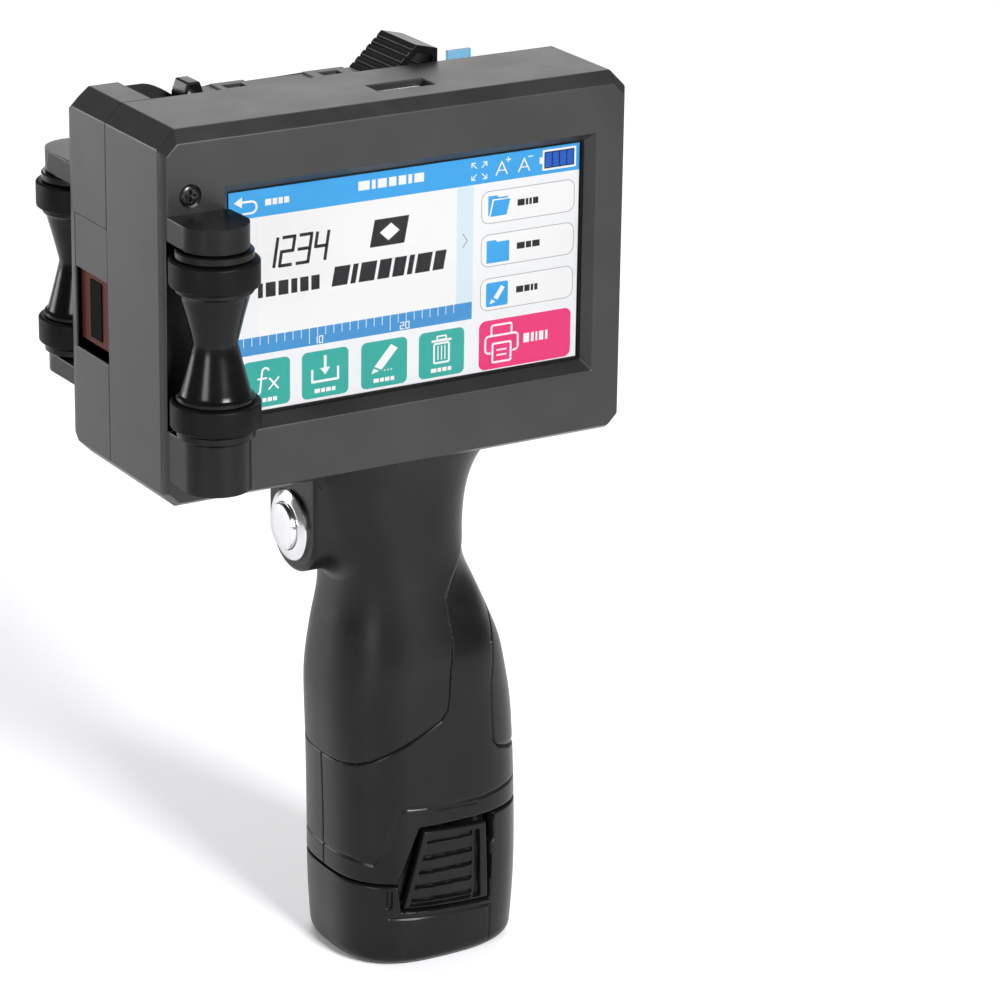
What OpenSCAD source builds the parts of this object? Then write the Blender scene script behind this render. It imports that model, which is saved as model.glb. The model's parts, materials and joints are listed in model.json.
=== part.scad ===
// Handheld date code inkjet printer: print head with touch screen, pistol grip and slide-in battery.
// The origin is the centre of the battery's flat base, +Z is up, and the screen faces -Y.
// The nozzle looks towards -X, between the two guide rollers.

/* [Head] */
// Width of the head along X
head_w = 124.9; // [124:0.1:127]
// Height of the head
head_h = 90.1; // [89:0.1:92]
// Depth of the head, both shells together
head_d = 49.4; // [49:0.1:51]
// Depth of the front shell alone
front_d = 29; // [28.5:0.1:29.5]
// Height of the head's underside above the standing face
head_z = 134.8; // [133:0.1:136]
// Wall thickness of the head shells
wall = 2.2; // [1.8:0.1:2.4]

/* [Screen] */
// Width of the display's active area
lcd_w = 95.04; // [94:0.1:96]
// Height of the display's active area
lcd_h = 53.86; // [53:0.1:55]
// Thickness of the front wall around the display
bezel_t = 3; // [2.6:0.1:3.2]

/* [Rollers] */
// Radius of the rubber tyres
tyre_r = 10.5; // [10:0.1:10.6]
// Radius of a roller's waist
waist_r = 5.2; // [4:0.1:6]
// Radius of the steel axles
axle_r = 2; // [1.5:0.1:2.2]
// Length of a roller's core
core_len = 44.6; // [44:0.1:44.8]
// Half width of the roller arms
arm_r = 8.1; // [7.8:0.1:8.2]

/* [Trigger] */
// Height of the trigger button's axis
button_z = 115.6; // [115:0.1:116]
// Radius of the button's flange
flange_r = 8.8; // [8.5:0.1:9]
// Radius of the moving button cap
cap_r = 5.85; // [5.5:0.05:5.9]

/* [Grip] */
// Wall thickness of the grip halves
grip_wall = 2.2; // [2:0.1:2.6]
// Thickness of the soft pads that are let into the grip
pad_t = 1; // [0.8:0.1:1.1]
// Gap between grip and battery
battery_gap = 0.5; // [0.4:0.1:0.8]

/* [Battery] */
// Radius of one battery cell
cell_r = 9; // [8.5:0.1:9.1]
// Length of one battery cell
cell_len = 65; // [64:0.5:65]

/* [Hidden] */
$fn = 48;

// Head outline
head_left = -80.3;
head_right = head_left + head_w;
head_top = head_z + head_h;
front_y = -24.5;
seam_y = front_y + front_d;
back_y = front_y + head_d;
top_chamfer = 4.4;
foot_chamfer = 3.4;
inset_ratio = 2 - sqrt(2);
bevel_d = 2.6;
glass_y = front_y + bezel_t;

// Display
lcd_left = -62;
lcd_bottom = 154;
lcd_right = lcd_left + lcd_w;
lcd_top = lcd_bottom + lcd_h;
glass_t = 0.8;
gasket_t = 0.3;
lcd_t = 4;
board_y = -6.6;
board_t = 1.6;
usb_x = -11.1;
usb_y = -11;

// Cartridge bay and cartridge
bay_y0 = seam_y;
bay_y1 = back_y - 1.6;
strip_right = -68.1;
window_z0 = 162.2;
window_z1 = 182;
insert_z1 = 195;
thin_wall = 0.8;
shelf_z = 156.5;
bay_top = 214;
cart_y0 = bay_y0 + 0.8;
cart_y1 = bay_y1 - 0.4;
cart_x0 = -64;
cart_x1 = 14;
cart_z0 = shelf_z + 0.3;
cart_z1 = 221.4;
snout_x = head_left + thin_wall + 0.3;
shoulder_r = 18;

// Rollers
roller_x = -71.3;
front_roller_y = -32.35;
rear_roller_y = 37.3;
front_low = 154.2;
front_high = 199.6;
rear_low = 155.5;
rear_high = 200.5;
front_core_z = 154.6;
rear_core_z = 155.7;
running = 0.05;
bush_r = 3.5;
encoder_r = 7.2;
arm_lip = 1.2;

// Button
button_x = -34.2;
boss_r = 11.8;
barrel_r = 8;
boss_inner_x = -23.4;

// Grip cross-sections: height, centre along X, half width along X, half depth along Y, squareness
sections = [
    [0, -0.3, 23.9, 21.0, 2.8],
    [12, -0.3, 24.7, 21.7, 2.8],
    [23, -0.3, 25.0, 22.0, 2.8],
    [57, -1.2, 25.0, 22.0, 2.65],
    [66, -1.8, 24.8, 22.0, 2.6],
    [74, -2.5, 23.9, 22.0, 2.6],
    [81, -2.9, 22.8, 21.7, 2.5],
    [88, -3.8, 21.1, 20.4, 2.4],
    [94, -4.6, 19.2, 19.2, 2.4],
    [104, -6.9, 17.5, 18.0, 2.4],
    [114, -9.0, 18.9, 18.3, 2.4],
    [124, -9.6, 20.6, 19.0, 2.5],
    [130, -9.2, 22.4, 20.0, 2.6],
    [head_z, -9.0, 25.0, 21.5, 2.8]];
function column(i) = [for (s = sections) [s[0], s[i]]];
function centre_at(z) = lookup(z, column(1));
function half_w(z) = lookup(z, column(2));
function half_d(z) = lookup(z, column(3));
function square_at(z) = lookup(z, column(4));
function power(v, n) = sign(v) * pow(abs(v), 2 / n);

// One point of the grip's surface at a height and an angle, moved inwards by inset
function grip_point(z, t, inset) = [
    centre_at(z) + (half_w(z) - inset) * power(cos(t), square_at(z)),
    (half_d(z) - inset) * power(sin(t), square_at(z)), z];

// Battery and latches
cut_low = 22.8;
cut_high = 37.4;
cut_x0 = -16.2;
cut_x1 = -9.5;
stem_wall = 0.6;
stem_x = -1.5;
cell_step = cell_r + 0.05;
cells = [[stem_x - cell_step, -7.85], [stem_x + cell_step, -7.85], [stem_x, 7.85]];
cell_z = 3.4;
stem_top = cell_z + cell_len + 4;
socket_z = 76;
latch_plan = [[-15.2, 15.4], [9.6, 14.8], [8.8, 36.6], [-8.6, 36.9]];
latch_t = 1.8;

// Extrudes an outline drawn in X and Z along Y
module along_y(y0, y1) translate([0, y1, 0]) rotate([90, 0, 0]) linear_extrude(y1 - y0) children();
// Puts a shape that is drawn along Z onto the X axis, pointing to +X
module to_x(x, y, z) translate([x, y, z]) rotate([0, 90, 0]) children();
// Puts a shape that is drawn along Z onto the Y axis, pointing to -Y
module to_minus_y(x, y, z) translate([x, y, z]) rotate([90, 0, 0]) children();
// A box from its lowest to its highest corner
module block(a, b) translate(a) cube(b - a);

// Outline of the head, with its four cut corners, moved inwards on each side
function head_outline(left, top, right, bottom) =
    let(c = top_chamfer - inset_ratio * top, f = foot_chamfer - inset_ratio * bottom,
        x0 = head_left + left, x1 = head_right - right, z0 = head_z + bottom, z1 = head_top - top)
    [[x0 + f, z0], [x1 - f, z0], [x1, z0 + f], [x1, z1 - c], [x1 - c, z1], [x0 + c, z1], [x0, z1 - c],
        [x0, z0 + f]];

shell_screw_spots = [[-40, 139.8], [39.2, 139.8], [39.2, 208]];
screw_r = 1.25;
face_screw_x = -73.2;
face_screw_z = 209.5;

// A solid lofted through closed superellipse rings at several heights
module loft(zs, insets, steps) {
    rings = [for (i = [0 : len(zs) - 1]) for (k = [0 : steps - 1])
        grip_point(zs[i], 360 * k / steps, insets[i])];
    sides = [for (i = [0 : len(zs) - 2]) for (k = [0 : steps - 1])
        let(a = i * steps + k, b = i * steps + (k + 1) % steps)
        each [[a, b + steps, b], [a, a + steps, b + steps]]];
    last = (len(zs) - 1) * steps;
    polyhedron(rings, concat(sides, [[for (k = [0 : steps - 1]) k]],
        [[for (k = [steps - 1 : -1 : 0]) last + k]]));
}

// A wall of the grip between two angles, from an outer to an inner inset at each height
module shell_loft(zs, ts, outer, inner) {
    steps = len(ts) - 1;
    m = 2 * len(ts);
    rings = [for (i = [0 : len(zs) - 1]) each concat(
        [for (k = [0 : steps]) grip_point(zs[i], ts[k], outer[i][k])],
        [for (k = [steps : -1 : 0]) grip_point(zs[i], ts[k], inner)])];
    sides = [for (i = [0 : len(zs) - 2]) for (k = [0 : m - 1])
        let(a = i * m + k, b = i * m + (k + 1) % m)
        each [[a, b + m, b], [a, a + m, b + m]]];
    last = (len(zs) - 1) * m;
    ends = [for (k = [0 : steps - 1]) each [
        [k, k + 1, m - 2 - k], [k, m - 2 - k, m - 1 - k],
        [last + k, last + m - 2 - k, last + k + 1], [last + k, last + m - 1 - k, last + m - 2 - k]]];
    polyhedron(rings, concat(sides, ends));
}
// The same inset at every height and angle
function even(zs, ts, inset) = [for (z = zs) [for (t = ts) inset]];

// ---- Head shells

module front_shell() {
    color([0.23, 0.23, 0.24]) difference() {
        hull() {
            along_y(front_y, front_y + 0.01) polygon(head_outline(1.2, 3, 1.7, 1.5));
            along_y(front_y + bevel_d, seam_y) polygon(head_outline(0, 0, 0, 0));
        }
        along_y(glass_y, seam_y + 1) polygon(head_outline(wall, wall, wall, wall));
        display_opening();
        block([head_left + 1, front_y - 1, front_low], [lcd_left + 2, glass_y + 0.01, front_high]);
        block([usb_x - 7.5, usb_y - 3.5, head_top - wall - 1], [usb_x + 7.5, usb_y + 3, head_top + 1]);
        translate([-9, -8, head_z - 1]) cylinder(r = 6, h = wall + 2);
        to_minus_y(face_screw_x, front_y + 1.3, face_screw_z) cylinder(r = 2.8, h = 3);
        to_minus_y(face_screw_x, glass_y + 1, face_screw_z) cylinder(r = 1.3, h = 6);
    }
    color([0.23, 0.23, 0.24]) {
        // Back wall of the pocket that the front roller turns in
        block([head_left + wall - 0.1, glass_y, front_low - 2],
            [lcd_left - 4.3, glass_y + 1.5, front_high + 2]);
        for (s = shell_screw_spots) to_minus_y(s[0], seam_y, s[1]) difference() {
            cylinder(r = 3, h = seam_y - glass_y + 0.2);
            translate([0, 0, -1]) cylinder(r = screw_r + 0.02, h = 8);
        }
    }
}

// The display opening widens towards the front
module display_opening() {
    hull() {
        along_y(glass_y, glass_y + 0.5) translate([lcd_left, lcd_bottom]) square([lcd_w, lcd_h]);
        along_y(front_y - 0.01, front_y) translate([lcd_left - 2.4, lcd_bottom - 3.1])
            square([lcd_w + 4.8, lcd_h + 5.8]);
    }
}

// The rear wall is scooped down from the left strip, so the cartridge can be gripped
module rear_scoop() {
    along_y(seam_y + 1, back_y + 1) {
        translate([-43, 172]) square([63, 70]);
        translate([-43, bay_top]) square([100, 70]);
        difference() {
            translate([strip_right, 199.5]) square([30, 40]);
            translate([strip_right, 199.5]) circle(r = 25, $fn = 96);
        }
    }
}

module rear_shell() {
    color([0.21, 0.21, 0.22]) difference() {
        hull() {
            along_y(seam_y, back_y - 3) polygon(head_outline(0, 0, 0, 0));
            along_y(back_y - 0.01, back_y) polygon(head_outline(0.6, 3, 2, 3));
        }
        // Bay above the shelf and the closed space below it
        difference() {
            along_y(bay_y0 - 1, bay_y1) polygon(head_outline(wall, wall, wall, wall));
            block([head_left, bay_y0 - 2, shelf_z - 2.5], [head_right, bay_y1 + 1, shelf_z]);
        }
        block([strip_right, bay_y0 - 1, 200], [head_right - wall, bay_y1, head_top + 1]);
        block([head_right - wall - 8, bay_y0 - 1, bay_top], [head_right + 1, back_y + 1, head_top + 1]);
        rear_scoop();
        block([head_left + thin_wall, bay_y0 - 1, shelf_z + 1], [head_left + 4, bay_y1, 200]);
        block([head_left - 1, bay_y0 - 1, window_z0], [head_left + 4, bay_y0 + 16.9, insert_z1]);
        for (s = shell_screw_spots) {
            to_minus_y(s[0], back_y + 1, s[1]) cylinder(r = 2.7, h = 3.2);
            to_minus_y(s[0], back_y + 1, s[1]) cylinder(r = screw_r + 0.3, h = 8);
        }
    }
    color([0.21, 0.21, 0.22]) for (s = shell_screw_spots)
        to_minus_y(s[0], bay_y1, s[1]) difference() {
            cylinder(r = 3, h = bay_y1 - seam_y);
            translate([0, 0, -2]) cylinder(r = screw_r + 0.3, h = 40);
        }
}

module divider_plate() {
    color([0.16, 0.16, 0.17]) difference() {
        along_y(seam_y - 1.8, seam_y) polygon(head_outline(wall, wall, wall, wall));
        block([-75.5, 0, 166], [-64.5, 10, 181]);
        for (s = shell_screw_spots) to_minus_y(s[0], seam_y + 1, s[1]) cylinder(r = 3.05, h = 4);
    }
}

// Flush panel above the nozzle window
module window_insert() {
    color([0.24, 0.24, 0.25])
        block([head_left + 0.05, bay_y0, window_z1], [head_left + thin_wall, bay_y0 + 16.9, insert_z1]);
}

module face_screw() {
    color([0.08, 0.08, 0.09]) to_minus_y(face_screw_x, front_y + 1.3, face_screw_z) difference() {
        union() {
            cylinder(r = 2.4, h = 1);
            translate([0, 0, 1]) cylinder(r1 = 2.4, r2 = 1.6, h = 0.4);
            translate([0, 0, -4]) cylinder(r = 1.25, h = 4);
        }
        for (a = [0, 90]) rotate([0, 0, a]) translate([-1.4, -0.3, 0.5]) cube([2.8, 0.6, 2]);
    }
}

module shell_screws() {
    color("silver") for (s = shell_screw_spots)
        to_minus_y(s[0], back_y - 1.2, s[1]) difference() {
            union() {
                translate([0, 0, -1.2]) cylinder(r = 2.3, h = 1.6);
                cylinder(r = screw_r, h = 24);
            }
            for (a = [0, 90]) rotate([0, 0, a]) translate([-1.4, -0.3, -2]) cube([2.8, 0.6, 1.4]);
        }
}

// ---- Display and electronics

module glass_gasket() {
    color([0.05, 0.05, 0.05]) along_y(glass_y, glass_y + gasket_t) difference() {
        translate([lcd_left - 3, lcd_bottom - 3]) square([lcd_w + 6, lcd_h + 6]);
        translate([lcd_left, lcd_bottom]) square([lcd_w, lcd_h]);
    }
}

module touch_glass() {
    color([0.1, 0.1, 0.12]) along_y(glass_y + gasket_t, glass_y + gasket_t + glass_t)
        translate([lcd_left - 3, lcd_bottom - 3]) square([lcd_w + 6, lcd_h + 6]);
}

module lcd_module() {
    y = glass_y + gasket_t + glass_t;
    color([0.7, 0.8, 0.95]) difference() {
        block([lcd_left - 4, y, lcd_bottom - 6], [lcd_right + 3, y + lcd_t, lcd_top + 4]);
        block([lcd_left - 2, y + lcd_t - 0.6, lcd_bottom], [lcd_right + 2, y + lcd_t + 1, lcd_top]);
    }
}

module display_ribbon() {
    y = glass_y + gasket_t + glass_t + lcd_t;
    color([0.75, 0.45, 0.12]) union() {
        block([-30, y, 149], [-6, y + 0.3, 153.8]);
        block([-30, y, 149], [-6, board_y, 149.3]);
        block([-30, board_y - 0.3, 149], [-6, board_y, 152]);
    }
}

module mainboard() {
    color([0.05, 0.3, 0.14]) difference() {
        block([-62, board_y, 143], [36, board_y + board_t, 216.5]);
        for (p = standoff_spots) to_minus_y(p[0], 0, p[1]) cylinder(r = 1.6, h = 12);
    }
}
standoff_spots = [[-55, 214.2], [31, 214.2], [-55, 145.6], [31, 145.6]];

module board_components() {
    color([0.1, 0.1, 0.1]) {
        block([-44, board_y - 2, 176], [-28, board_y, 192]);
        block([-20, board_y - 1.4, 172], [-9, board_y, 183]);
        block([12, board_y - 1.2, 170], [26, board_y, 178]);
        for (z = [162 : 7 : 204]) block([6, board_y - 1.6, z], [9, board_y, z + 4]);
        for (x = [-44 : 8 : -20]) block([x, board_y - 5, 158], [x + 5, board_y, 166]);
        block([22, board_y - 5.4, 190], [34, board_y, 202]);
        block([-58, board_y + board_t, 168], [-52, board_y + board_t + 5, 184]);
    }
    color("silver") for (x = [14, 24]) to_minus_y(x, board_y, 160) cylinder(r = 4, h = 7);
}

module board_standoffs() {
    y = glass_y;
    color("gold") for (p = standoff_spots) to_minus_y(p[0], board_y + board_t, p[1]) difference() {
        union() {
            cylinder(r = 1.55, h = board_t + 1);
            translate([0, 0, board_t]) cylinder(r = 2.2, h = board_y - y);
        }
        translate([0, 0, -1]) cylinder(r = 0.9, h = 5);
    }
}

// The socket's metal shell, tongue and solder tabs
module usb_socket() {
    z1 = head_top - 1.6;
    color("silver") difference() {
        block([usb_x - 6.55, usb_y - 2.9, z1 - 14], [usb_x + 6.55, usb_y + 2.8, z1]);
        block([usb_x - 6.15, usb_y - 2.5, z1 - 12], [usb_x + 6.15, usb_y + 2.4, z1 + 1]);
    }
    color([0.9, 0.9, 0.9])
        block([usb_x - 5.4, usb_y + 0.4, z1 - 12], [usb_x + 5.4, usb_y + 2.2, z1 - 2.5]);
    color("silver") for (s = [-1, 1])
        block([usb_x + s * 5 - 1, usb_y + 2.8, z1 - 12.5], [usb_x + s * 5 + 1, board_y, z1 - 9]);
}

module contact_board() {
    color([0.05, 0.3, 0.14]) block([-78, seam_y - 3.2, 163], [-62, seam_y - 1.8, 184]);
    color([0.1, 0.1, 0.1]) block([-75, seam_y - 1.8, 166.5], [-65, seam_y - 0.6, 180.5]);
}

module contact_pins() {
    color("gold") for (x = [-73.5 : 2.5 : -66]) for (z = [168 : 2.75 : 179.5])
        to_minus_y(x, seam_y + 0.4, z) cylinder(r = 0.35, h = 1, $fn = 16);
}

// Clear clip on the rear wall, beside the cartridge
module lock_clip() {
    color([0.62, 0.78, 0.92, 0.8]) union() {
        block([23, back_y, 196], [29.7, back_y + 1.2, 221]);
        block([23, bay_y1 - 0.1, bay_top], [29.7, back_y + 1.2, bay_top + 1.2]);
    }
}

// ---- Roller arms, rollers and encoder

// An arm's plan: round about the axle, flat against the head at Y = to
module arm_outline(x, y, to) intersection() {
    union() {
        translate([x, y]) circle(r = arm_r);
        translate([x - arm_r, min(y, to)]) square([2 * arm_r, abs(to - y)]);
    }
    translate([x - arm_r, min(y - arm_r, to)]) square([2 * arm_r, abs(to - y) + arm_r]);
}

module front_upper_arm() {
    color([0.08, 0.08, 0.085]) difference() {
        translate([0, 0, front_high]) linear_extrude(5.8) arm_outline(roller_x, front_roller_y, front_y);
        translate([roller_x, front_roller_y, front_high - 1]) cylinder(r = bush_r, h = 5.6);
    }
}

module front_lower_arm() {
    color([0.08, 0.08, 0.085]) difference() {
        translate([0, 0, front_low - 12.2]) linear_extrude(12.2)
            arm_outline(roller_x, front_roller_y, front_y);
        translate([roller_x, front_roller_y, front_low - 4]) cylinder(r = bush_r, h = 5);
        translate([roller_x, front_roller_y, front_low - 13]) cylinder(r = encoder_r, h = 9);
    }
}

module rear_upper_arm() {
    color([0.08, 0.08, 0.085]) difference() {
        translate([0, 0, rear_high]) linear_extrude(5.5) arm_outline(roller_x, rear_roller_y, back_y);
        translate([roller_x, rear_roller_y, rear_high - 1]) cylinder(r = bush_r, h = 5.2);
    }
}

module rear_lower_arm() {
    color([0.08, 0.08, 0.085]) difference() {
        translate([0, 0, rear_low - 4.7]) linear_extrude(4.7)
            arm_outline(roller_x, rear_roller_y, back_y);
        translate([roller_x, rear_roller_y, rear_low - 3.7]) cylinder(r = bush_r, h = 5);
    }
}

module bush(y, z, h) translate([roller_x, y, z]) difference() {
    cylinder(r = bush_r, h = h);
    translate([0, 0, -1]) cylinder(r = axle_r + running, h = h + 2);
}

module roller_bushes() {
    color([0.72, 0.55, 0.25]) {
        bush(front_roller_y, front_high, 3.6);
        bush(front_roller_y, front_low - 4, 4);
        bush(rear_roller_y, rear_high, 3.4);
        bush(rear_roller_y, rear_low - 3.7, 3.7);
    }
}

// Hourglass core with a groove for a tyre near each end
module roller_core(y, z0) {
    mid = core_len / 2;
    half = [[0, 0], [9.1, 0], [9.1, 1.9], [8.7, 2.2], [8.7, 8.7], [9.1, 8.7], [9.1, 9.9], [8.2, 10.6],
        [8, 11.4], [waist_r, mid]];
    other = [for (i = [len(half) - 2 : -1 : 0]) [half[i][0], core_len - half[i][1]]];
    translate([roller_x, y, z0]) difference() {
        rotate_extrude() polygon(concat(half, other));
        translate([0, 0, -1]) cylinder(r = axle_r, h = core_len + 2);
    }
}

module tyre(y, z) translate([roller_x, y, z]) rotate_extrude() polygon([[8.7, 0], [9.9, 0],
    [tyre_r, 0.8], [tyre_r, 5.7], [9.9, 6.5], [8.7, 6.5]]);

module front_roller_core() color([0.06, 0.06, 0.065]) roller_core(front_roller_y, front_core_z);
module rear_roller_core() color([0.06, 0.06, 0.065]) roller_core(rear_roller_y, rear_core_z);

module front_roller_tyres() color([0.04, 0.04, 0.04]) {
    tyre(front_roller_y, front_core_z + 2.2);
    tyre(front_roller_y, front_core_z + core_len - 8.7);
}

module rear_roller_tyres() color([0.04, 0.04, 0.04]) {
    tyre(rear_roller_y, rear_core_z + 2.2);
    tyre(rear_roller_y, rear_core_z + core_len - 8.7);
}

module front_axle() color("silver")
    translate([roller_x, front_roller_y, front_low - 9.4]) cylinder(r = axle_r, h = 58.4);

module rear_axle() color("silver")
    translate([roller_x, rear_roller_y, rear_low - 3.5]) cylinder(r = axle_r, h = 52);

module encoder_disc() {
    color([0.75, 0.75, 0.78]) translate([roller_x, front_roller_y, front_low - 8]) difference() {
        union() {
            cylinder(r = 6, h = 0.5);
            cylinder(r = 3.2, h = 2);
        }
        translate([0, 0, -1]) cylinder(r = axle_r, h = 5);
        for (a = [0 : 15 : 345]) rotate([0, 0, a]) translate([4.4, -0.25, -1]) cube([1.1, 0.5, 2]);
    }
}

// Slotted light sensor that reads the disc, inside the lower arm
module encoder_sensor() {
    color([0.1, 0.1, 0.1]) difference() {
        intersection() {
            block([roller_x + 3.6, front_roller_y - 2.5, front_low - 10.2],
                [roller_x + 8, front_roller_y + 2.5, front_low - 4.6]);
            translate([roller_x, front_roller_y, front_low - 12]) cylinder(r = encoder_r, h = 10);
        }
        translate([roller_x, front_roller_y, front_low - 8.6]) cylinder(r = 6.4, h = 2.9);
    }
}

module encoder_cover() {
    color([0.08, 0.08, 0.085]) translate([roller_x, front_roller_y, front_low - 12.2])
        cylinder(r = encoder_r, h = arm_lip);
}

// ---- Trigger button

module button_boss(side) {
    intersection() {
        union() {
            to_x(button_x, 0, button_z) cylinder(r = boss_r, h = boss_inner_x - button_x);
            block([button_x, -boss_r, button_z], [boss_inner_x, boss_r, head_z]);
        }
        block([-50, side < 0 ? -20 : 0, 90], [-10, side < 0 ? 0 : 20, head_z]);
    }
}

module button_bezel() {
    color([0.85, 0.85, 0.86]) to_x(button_x, 0, button_z) difference() {
        union() {
            translate([0, 0, -0.7]) cylinder(r = flange_r, h = 0.7);
            translate([0, 0, -1.8]) cylinder(r1 = flange_r - 1.3, r2 = flange_r, h = 1.1);
            cylinder(r = barrel_r, h = 20);
        }
        translate([0, 0, -3]) cylinder(r = cap_r + 0.1, h = 9);
        translate([0, 0, 5]) cylinder(r = 3, h = 12);
    }
}

module button_cap() {
    color([0.88, 0.88, 0.89]) to_x(button_x, 0, button_z) union() {
        translate([0, 0, -3.1]) cylinder(r1 = cap_r - 0.35, r2 = cap_r, h = 0.35);
        translate([0, 0, -2.75]) cylinder(r = cap_r, h = 5);
        translate([0, 0, 2.2]) cylinder(r = 1.6, h = 9);
    }
}

module button_nut() {
    color("silver") to_x(boss_inner_x, 0, button_z) difference() {
        cylinder(r = 9.6, h = 2.6, $fn = 6);
        translate([0, 0, -1]) cylinder(r = barrel_r, h = 5);
    }
}

// Round wire wound into a coil along Z
module coil(r, wire, turns, length) {
    steps = 16;
    sides = 6;
    n = turns * steps;
    pts = [for (i = [0 : n]) for (k = [0 : sides - 1])
        let(a = 360 * i / steps, b = 360 * k / sides, q = r + wire * cos(b))
        [q * cos(a), q * sin(a), wire + (length - 2 * wire) * i / n + wire * sin(b)]];
    skin = [for (i = [0 : n - 1]) for (k = [0 : sides - 1])
        let(a = i * sides + k, b = i * sides + (k + 1) % sides)
        each [[a, b, b + sides], [a, b + sides, a + sides]]];
    polyhedron(pts, concat(skin, [[for (k = [sides - 1 : -1 : 0]) k]],
        [[for (k = [0 : sides - 1]) n * sides + k]]));
}

module button_spring()
    color("silver") to_x(button_x + 11.4, 0, button_z) coil(2, 0.25, 4, 5.4);

module switch_block() {
    color([0.12, 0.12, 0.12]) to_x(button_x + 20, 0, button_z) cylinder(r = 6.6, h = 6);
    color("gold") for (y = [-2.5, 2.5])
        block([button_x + 26, y - 0.8, button_z - 0.25], [button_x + 31, y + 0.8, button_z + 0.25]);
}

// ---- Grip

pad_low = 52;
pad_high = 102;
pad_step = 0.4;
pad_fit = 0.05;
grip_rings = [cut_low + battery_gap, 40, pad_low, pad_low + pad_step, 57, 66, 74, 81, 88, 94,
    pad_high - pad_step, pad_high, 114, 124, 130, head_z];

// The slanted step that the battery's top edge follows
module battery_step(extra)
    along_y(-40, 40) polygon([[cut_x0 - extra, -5], [cut_x0 - extra, cut_low + extra],
        [cut_x1 - extra, cut_high + extra], [40, cut_high + extra], [40, -5]]);

// Half-way round from +X, with a step at either edge of the proud side panel
half_angles = [0, 12, 24, 35, 45, 45.8, 56, 68, 80, 89.6, 90, 100, 112, 124, 136, 148, 160, 170, 180];
function recess(z, t) = z > pad_low && z < pad_high && (abs(t) <= 45 || abs(t) >= 90)
    ? pad_t + pad_fit : 0;

module grip_half(side) {
    last = len(half_angles) - 1;
    ts = [for (k = [0 : last]) side > 0 ? half_angles[k] : -half_angles[last - k]];
    difference() {
        union() {
            shell_loft(grip_rings, ts, [for (z = grip_rings) [for (t = ts) recess(z, t)]], grip_wall);
            button_boss(side);
            for (s = grip_screw_spots) grip_screw_post(s, side);
        }
        battery_step(battery_gap);
        to_x(button_x - 1, 0, button_z) cylinder(r = barrel_r + 0.05, h = 20);
        to_x(boss_inner_x, 0, button_z) cylinder(r = 10, h = 9);
        for (s = grip_screw_spots) {
            to_minus_y(s[0], 20, s[1]) cylinder(r = grip_screw_r + 0.05, h = 31);
            if (side > 0) to_minus_y(s[0], 30, s[1]) cylinder(r = 2.6, h = 30 - screw_seat);
        }
    }
}

// Post that carries one of the screws between the halves
module grip_screw_post(s, side)
    to_minus_y(s[0], side < 0 ? 0 : 16.5, s[1]) cylinder(r = 3.6, h = 16.5);

module grip_front_half() color([0.07, 0.07, 0.075]) grip_half(-1);
module grip_rear_half() color([0.07, 0.07, 0.075]) grip_half(1);

pad_rings = [pad_low + pad_step + pad_fit, 57, 66, 74, 81, 88, 94, pad_high - pad_step - pad_fit];
front_angles = [90.5, 100, 112, 124, 136, 148, 160, 170, 180, 190, 200, 212, 224, 236, 248, 260, 269.5];
strap_angles = [-44.6, -35, -24, -12, 0, 12, 24, 35, 44.6];
module front_grip_pad() color([0.06, 0.06, 0.06])
    shell_loft(pad_rings, front_angles, even(pad_rings, front_angles, 0), pad_t);
module back_strap() color([0.06, 0.06, 0.06])
    shell_loft(pad_rings, strap_angles, even(pad_rings, strap_angles, 0), pad_t);

grip_screw_spots = [[3, 97], [2, 126]];
grip_screw_r = 1.4;
screw_seat = 13;
module grip_screws() color([0.15, 0.15, 0.16]) for (s = grip_screw_spots)
    to_minus_y(s[0], screw_seat, s[1]) difference() {
        union() {
            translate([0, 0, -1.6]) cylinder(r = 2.5, h = 1.6);
            cylinder(r = grip_screw_r, h = 22);
        }
        for (a = [0, 90]) rotate([0, 0, a]) translate([-1.4, -0.3, -2]) cube([2.8, 0.6, 1.2]);
    }

module battery_socket() {
    z = socket_z;
    color([0.12, 0.12, 0.12]) difference() {
        union() {
            translate([0, 0, z + 4]) linear_extrude(1.6) polygon([for (t = [0 : 12 : 348])
                let(p = grip_point(z + 6, t, grip_wall + 0.1)) [p[0], p[1]]]);
            block([-12, -7, z], [8, 7, z + 4]);
        }
        translate([-12, 0, z + 3]) cylinder(r = 3, h = 4);
    }
}

module socket_contacts() color("gold") for (x = [-8 : 4 : 4])
    block([x - 0.4, -5, stem_top - 0.1], [x + 0.4, 5, socket_z]);

// ---- Battery

module battery_cup() {
    color([0.07, 0.07, 0.075]) difference() {
        loft([0, 0.5, 1.5, 3, 12, cut_low, cut_high], [2.6, 1.3, 0.4, 0, 0, 0, 0], 40);
        intersection() {
            loft([2.4, cut_high + 2], [2.2, 2.2], 40);
            block([-40, -40, 2.4], [40, 40, 60]);
        }
        along_y(-40, 40) polygon([[-40, cut_low], [cut_x0, cut_low], [cut_x1, cut_high], [cut_x1, 60],
            [-40, 60]]);
        along_y(-40, -15) latch_hole();
        along_y(15, 40) latch_hole();
    }
}

module latch_hole() polygon([[-15.7, 14.9], [10.1, 14.3], [9.2, 60], [-8.9, 60], [-9.3, 37.2]]);

module stem_plan(r) {
    for (c = cells) translate(c) circle(r = r);
    translate([stem_x - 6, -7.9]) square([12, 12]);
}

module battery_stem() {
    color([0.09, 0.09, 0.095]) difference() {
        translate([0, 0, 2.4]) linear_extrude(stem_top - 2.4) stem_plan(cell_r + stem_wall);
        translate([0, 0, cell_z - 0.5]) linear_extrude(cell_len + 1) stem_plan(cell_r + 0.05);
        for (x = [-8 : 4 : 4]) block([x - 0.9, -5.4, stem_top - 2], [x + 0.9, 5.4, stem_top + 1]);
    }
}

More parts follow.
